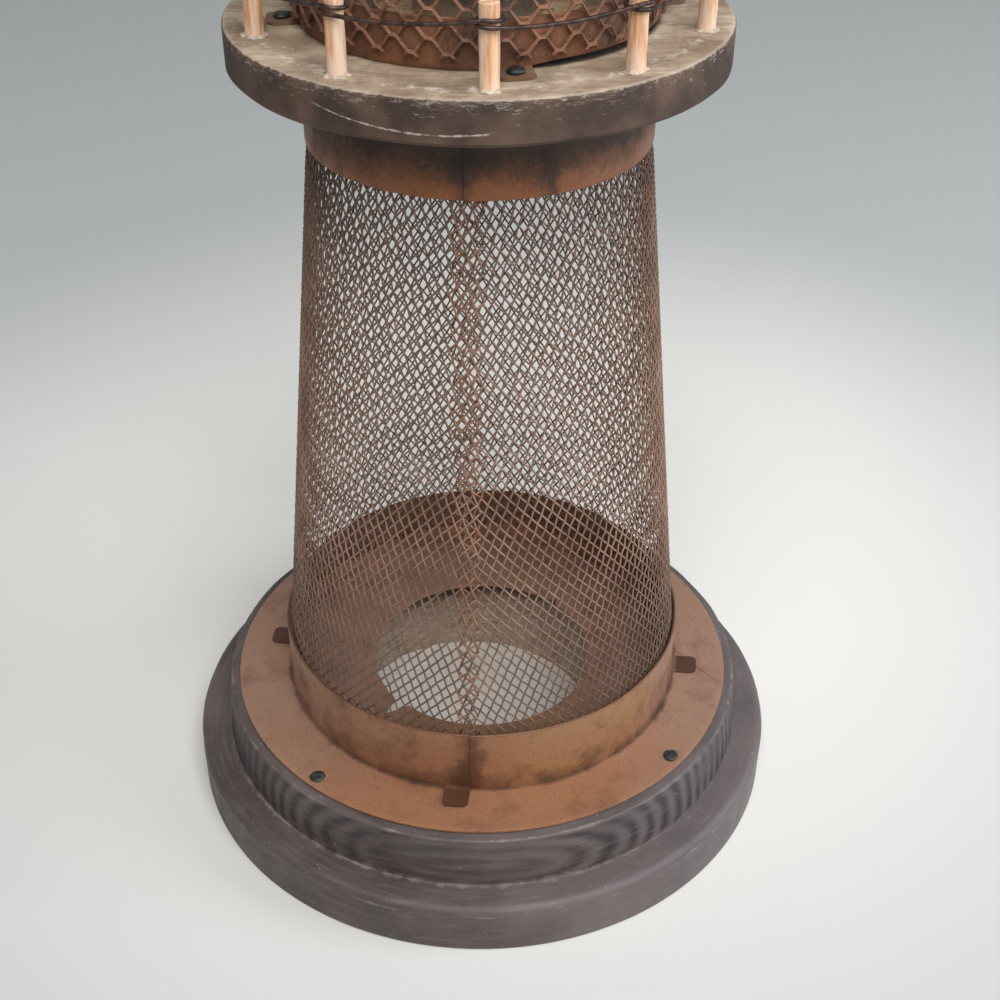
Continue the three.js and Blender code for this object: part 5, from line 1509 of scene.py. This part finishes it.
# Roof cap: a small washer of rusted tin, dished in a press and soldered over the tip of the cone. The eye's
# stem passes through it.
CAP_STEPS = 96
cap_section = [
    (STEM_HOLE, cap_low.z + (cap_high.x - STEM_HOLE) * roof_fall),
    (cap_high.x, cap_low.z),
    (cap_high.x, cap_low.z + TIN),
    *[(cap_high.x * (1 - share), cap_low.z + TIN + (cap_high.z - cap_low.z - TIN)
       * math.sin(share * math.pi / 2) ** 0.9) for share in (0.2, 0.4, 0.6, 0.75)],
    (STEM_HOLE, cap_high.z),
    (STEM_HOLE, cap_low.z + (cap_high.x - STEM_HOLE) * roof_fall),
]
cap = spun("roof_tip_cap", cap_section, CAP_STEPS)
coat(cap, rust_finish)
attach(cap, "roof")
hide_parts("roof_cap")

# Eye: a length of dark steel wire bent into a loop. Its two ends are twisted into a stem and pushed through
# the cap.
EYE_WIRE = 1.2 * MM
EYE_RADIUS = 4.6 * MM
EYE_POINTS = 32
eye_low, eye_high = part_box("roof_eye")
eye_middle = Vector((0, 0, eye_high.z - EYE_WIRE - EYE_RADIUS))
eye_points = [Vector((0, 0, eye_low.z)), Vector((0, 0, eye_middle.z - EYE_RADIUS - 2 * MM))]
for i in range(EYE_POINTS + 1):
    turn = math.radians(-80 + 340 * i / EYE_POINTS)
    eye_points.append(eye_middle + Vector((EYE_RADIUS * math.cos(turn), 0, EYE_RADIUS * math.sin(turn))))
eye = traced("roof_wire_eye", eye_points)
tube(eye, EYE_WIRE, roundness=3)
eye.data.materials.append(steel_finish)
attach(eye, "roof")
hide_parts("roof_eye")

# Ring: the same steel wire, bent round and closed into a ring. It hangs in the eye and lies on the roof, and
# the lantern is carried by it.
RING_RADIUS = 14 * MM
RING_WIRE = 1.3 * MM
RING_DROOP = 45.5
clear_selection()
bpy.ops.mesh.primitive_torus_add(major_radius=RING_RADIUS, minor_radius=RING_WIRE, major_segments=96,
                                 minor_segments=14)
ring = bpy.context.object
ring.name = ring.data.name = "carrying_ring"
hang = Matrix.Rotation(math.radians(RING_DROOP), 4, "Y") @ Matrix.Translation((RING_RADIUS, 0, 0))
ring.data.transform(Matrix.Translation(eye_middle) @ hang)
roughen(ring, depth=0.12 * MM, lump=5 * MM)
coat(ring, steel_finish, degrees=60)
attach(ring, "ring")
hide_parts("ring_handle")
bpy.data.objects.remove(first_tack)

# Stage: a pale floor with a pool of light painted into its colour round the lantern, brightest behind it.
# Large soft lights hang over the front and stand at the right.
ROOM_LIGHT = "#dfe4e6"
ROOM_STRENGTH = 0.4
WINDOW_LIGHT = "#eef6ff"
LIT_PLACE = (0, 0, 0.15)  # the lights are turned to the tower
FLOOR_HALF = 6.0
FLOOR_PALE = "#babcba"
FLOOR_PAINTED_LIGHT = "#e9e5df"
PAINTED_LIGHT_MIDDLE = (0, 145 * MM, 0)
PAINTED_LIGHT_REACH = 400 * MM
PAINTED_LIGHT_FULL = 120 * MM
clear_selection()
bpy.ops.mesh.primitive_grid_add(x_subdivisions=8, y_subdivisions=8, size=2 * FLOOR_HALF)
floor = bpy.context.object
floor.name = "floor"
floor_finish, tree, shader, place = new_material("pale_floor_with_painted_light")
# Painted light: the floor's colour turns paler in a pool round the lantern, centred behind it.
from_painted_light = add_node(tree, "VectorMath", {0: place, 1: PAINTED_LIGHT_MIDDLE}, operation="DISTANCE")
bright = add_node(tree, "MapRange", {"Value": from_painted_light.outputs["Value"], "From Min": PAINTED_LIGHT_REACH,
                                     "From Max": PAINTED_LIGHT_FULL}, interpolation_type="SMOOTHSTEP")
floor_colour = add_node(tree, "MixRGB", {"Fac": bright, "Color1": FLOOR_PALE, "Color2": FLOOR_PAINTED_LIGHT})
fill(tree, shader, {"Base Color": floor_colour, "Roughness": 0.45})
floor.data.materials.append(floor_finish)


def soft_light(name, place, size, power, tint="#ffffff"):
    """A square area light at a place, turned to the tower."""
    bpy.ops.object.light_add(type="AREA", location=place)
    light = bpy.context.object
    light.name = name
    light.data.size = size
    light.data.energy = power
    light.data.color = linear(tint)[:3]
    light.rotation_euler = (Vector(LIT_PLACE) - Vector(place)).to_track_quat("-Z", "Y").to_euler()


soft_light("ceiling_light", place=(0.2, -1.0, 1.6), size=1.2, power=32)
soft_light("window_light", place=(1.6, -0.3, 0.9), size=1.0, power=20, tint=WINDOW_LIGHT)
world = bpy.data.worlds.new("soft_room")
world.use_nodes = True
fill(world.node_tree, world.node_tree.nodes["Background"], {"Color": ROOM_LIGHT, "Strength": ROOM_STRENGTH})
bpy.context.scene.world = world
bpy.context.scene.view_settings.view_transform = "Standard"
